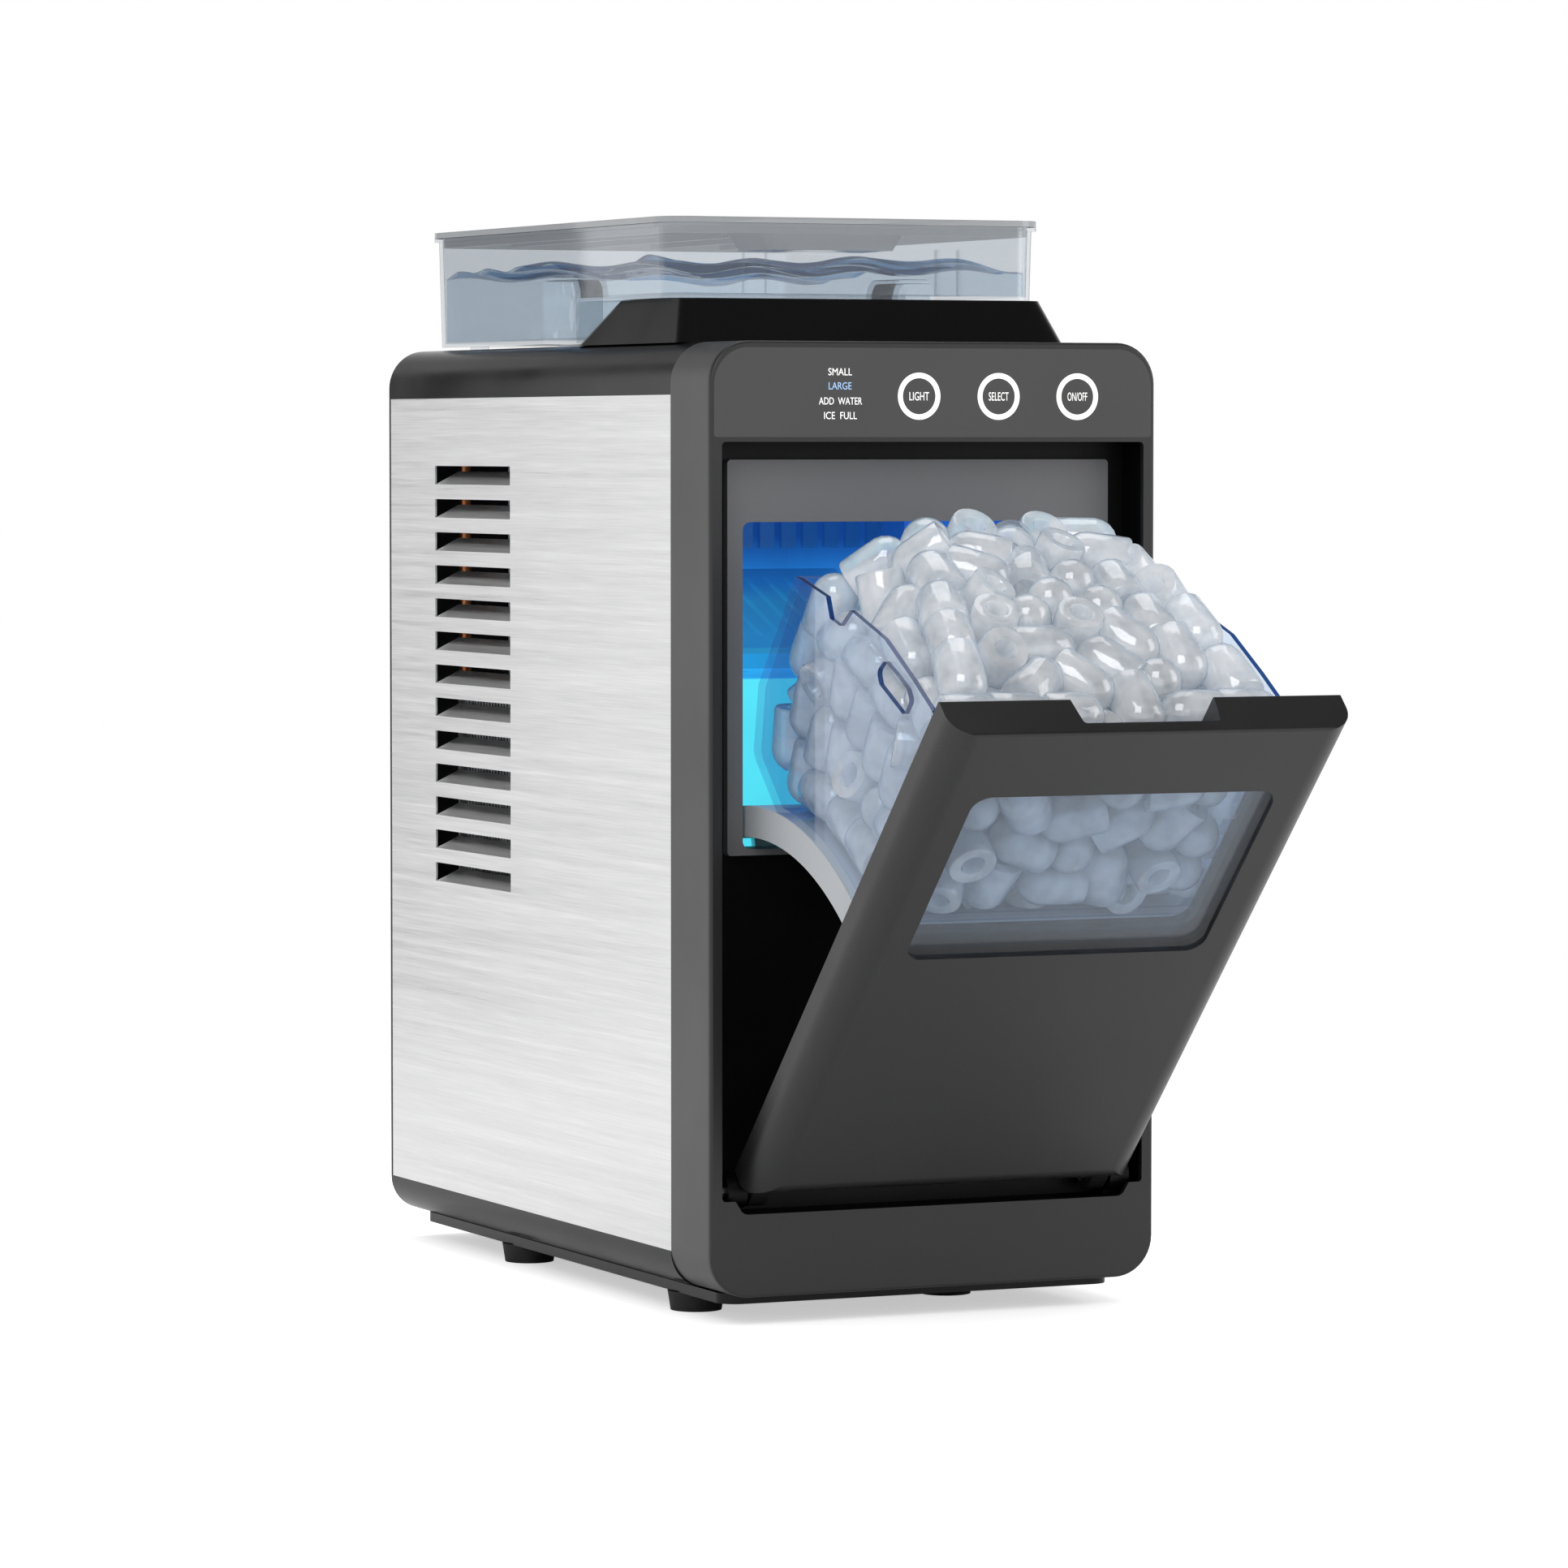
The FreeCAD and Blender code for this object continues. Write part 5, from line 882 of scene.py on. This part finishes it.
lamp("chamber_light", "AREA", at(0, 90, 393), at(-30, 120, 250), 0.04, (0.10, 0.55, 1.0), 0.12, 0.03)
lamp("bay_light", "AREA", at(0, 215, 400), at(0, 200, 300), 0.015, (0.03, 0.2, 1.0), 0.10, 0.03)

# %% [markdown]
# ## Studio
# A pale floor that fades out to plain white keeps the soft shadow under the machine.  One
# big soft lamp stands at the front left and above, a weaker one fills from the right.

# %% Floor, lights and camera
def studio_floor():
    made = bmesh.new()
    bmesh.ops.create_circle(made, cap_ends=True, radius=2.2, segments=96)
    mesh = bpy.data.meshes.new("studio_floor")
    made.to_mesh(mesh)
    made.free()
    floor = bpy.data.objects.new("studio_floor", mesh)
    scene.collection.objects.link(floor)
    finish, tree = material("paper_floor_pale")
    finish.surface_render_method = "BLENDED"
    place = add(tree, "ShaderNodeTexCoord").outputs["Object"]
    far = add(tree, "ShaderNodeVectorMath", {"operation": "LENGTH"}, in0=place)
    fade = add(tree, "ShaderNodeMapRange", {"interpolation_type": "SMOOTHSTEP"},
               Value=far.outputs["Value"], From_Min=0.55, From_Max=1.15)
    paper = add(tree, "ShaderNodeBsdfDiffuse", Color=linear("#F2F2F2"))
    ray = add(tree, "ShaderNodeLightPath")
    lift = add(tree, "ShaderNodeMath", {"operation": "MULTIPLY"}, in0=ray.outputs["Is Camera Ray"],
               in1=0.52)
    glow = add(tree, "ShaderNodeEmission", Color=(1, 1, 1, 1), Strength=lift.outputs["Value"])
    lit = add(tree, "ShaderNodeAddShader", in0=paper.outputs["BSDF"], in1=glow.outputs["Emission"])
    gone = add(tree, "ShaderNodeBsdfTransparent")
    skin = add(tree, "ShaderNodeMixShader", Fac=fade.outputs["Result"], in1=lit.outputs["Shader"],
               in2=gone.outputs["BSDF"])
    finish_with(tree, skin.outputs["Shader"])
    floor.data.materials.append(finish)
    return floor


studio_floor()


def grey_flag():
    """A grey card behind the machine's left side, seen only in the steel's reflection."""
    mesh = bpy.data.meshes.new("grey_flag")
    mesh.from_pydata([(-0.55, 1.18, 0.0), (-0.55, 2.1, 0.0), (-0.55, 2.1, 1.3), (-0.55, 1.18, 1.3)],
                     [], [(0, 1, 2, 3)])
    flag = bpy.data.objects.new("grey_flag", mesh)
    scene.collection.objects.link(flag)
    finish, tree = material("card_grey_matt")
    place = add(tree, "ShaderNodeTexCoord").outputs["Object"]
    fibre = add(tree, "ShaderNodeTexNoise", Vector=place, Scale=40.0)
    tone = add(tree, "ShaderNodeValToRGB", Fac=fibre.outputs["Fac"])
    tone.color_ramp.elements[0].color = linear("#6A6A6A")
    tone.color_ramp.elements[1].color = linear("#767676")
    paper = add(tree, "ShaderNodeBsdfDiffuse", Color=tone.outputs["Color"])
    finish_with(tree, paper.outputs["BSDF"])
    flag.data.materials.append(finish)
    flag.visible_camera = flag.visible_diffuse = flag.visible_shadow = False
    flag.visible_transmission = False


grey_flag()
world = bpy.data.worlds.new("white_studio")
scene.world = world
world.use_nodes = True
sky = world.node_tree
sky.nodes.clear()
ray = add(sky, "ShaderNodeLightPath")
straight = add(sky, "ShaderNodeMath", {"operation": "MAXIMUM"}, in0=ray.outputs["Is Camera Ray"],
               in1=ray.outputs["Is Transmission Ray"])
way = add(sky, "ShaderNodeTexCoord").outputs["Generated"]
up = add(sky, "ShaderNodeSeparateXYZ", Vector=way).outputs["Z"]
ceiling = add(sky, "ShaderNodeMapRange", {"interpolation_type": "SMOOTHSTEP"}, Value=up,
              From_Min=0.10, From_Max=0.55, To_Min=1.0, To_Max=0.10)
mirror = add(sky, "ShaderNodeMath", {"operation": "MULTIPLY"}, in0=ray.outputs["Is Glossy Ray"],
             in1=ceiling.outputs["Result"])
seen = add(sky, "ShaderNodeMath", {"operation": "MAXIMUM"}, in0=straight.outputs["Value"],
           in1=mirror.outputs["Value"])
diffuse = add(sky, "ShaderNodeMath", {"operation": "MULTIPLY"}, in0=ray.outputs["Is Diffuse Ray"],
              in1=0.72)
strength = add(sky, "ShaderNodeMath", {"operation": "MAXIMUM"}, in0=seen.outputs["Value"],
               in1=diffuse.outputs["Value"])
back = add(sky, "ShaderNodeBackground", Color=(1, 1, 1, 1), Strength=strength.outputs["Value"])
out = add(sky, "ShaderNodeOutputWorld")
sky.links.new(back.outputs["Background"], out.inputs["Surface"])

AIM = (0.0, -0.05, 0.25)
lamp("key_softbox", "AREA", (-1.3, -1.9, 1.9), AIM, 26, (1, 1, 1), 1.4, 1.4)
lamp("fill_softbox", "AREA", (1.9, -1.3, 1.0), AIM, 14, (1, 1, 1), 1.2, 1.6)
lamp("top_softbox", "AREA", (0.2, 0.6, 2.2), AIM, 12, (1, 1, 1), 1.4, 1.4)

CAMERA_MM = (-1407.72, -2938.66, 420.98)
CAMERA_YAW = 24.317
CAMERA_PITCH = 2.870
data = bpy.data.cameras.new("front_left_camera")
data.lens = 155.83
data.sensor_width = 36.0
data.clip_end = 50.0
camera = bpy.data.objects.new("front_left_camera", data)
camera.location = at(*CAMERA_MM)
camera.rotation_euler = (math.radians(90 - CAMERA_PITCH), 0, -math.radians(CAMERA_YAW))
scene.collection.objects.link(camera)
scene.camera = camera
scene.view_settings.view_transform = "Standard"
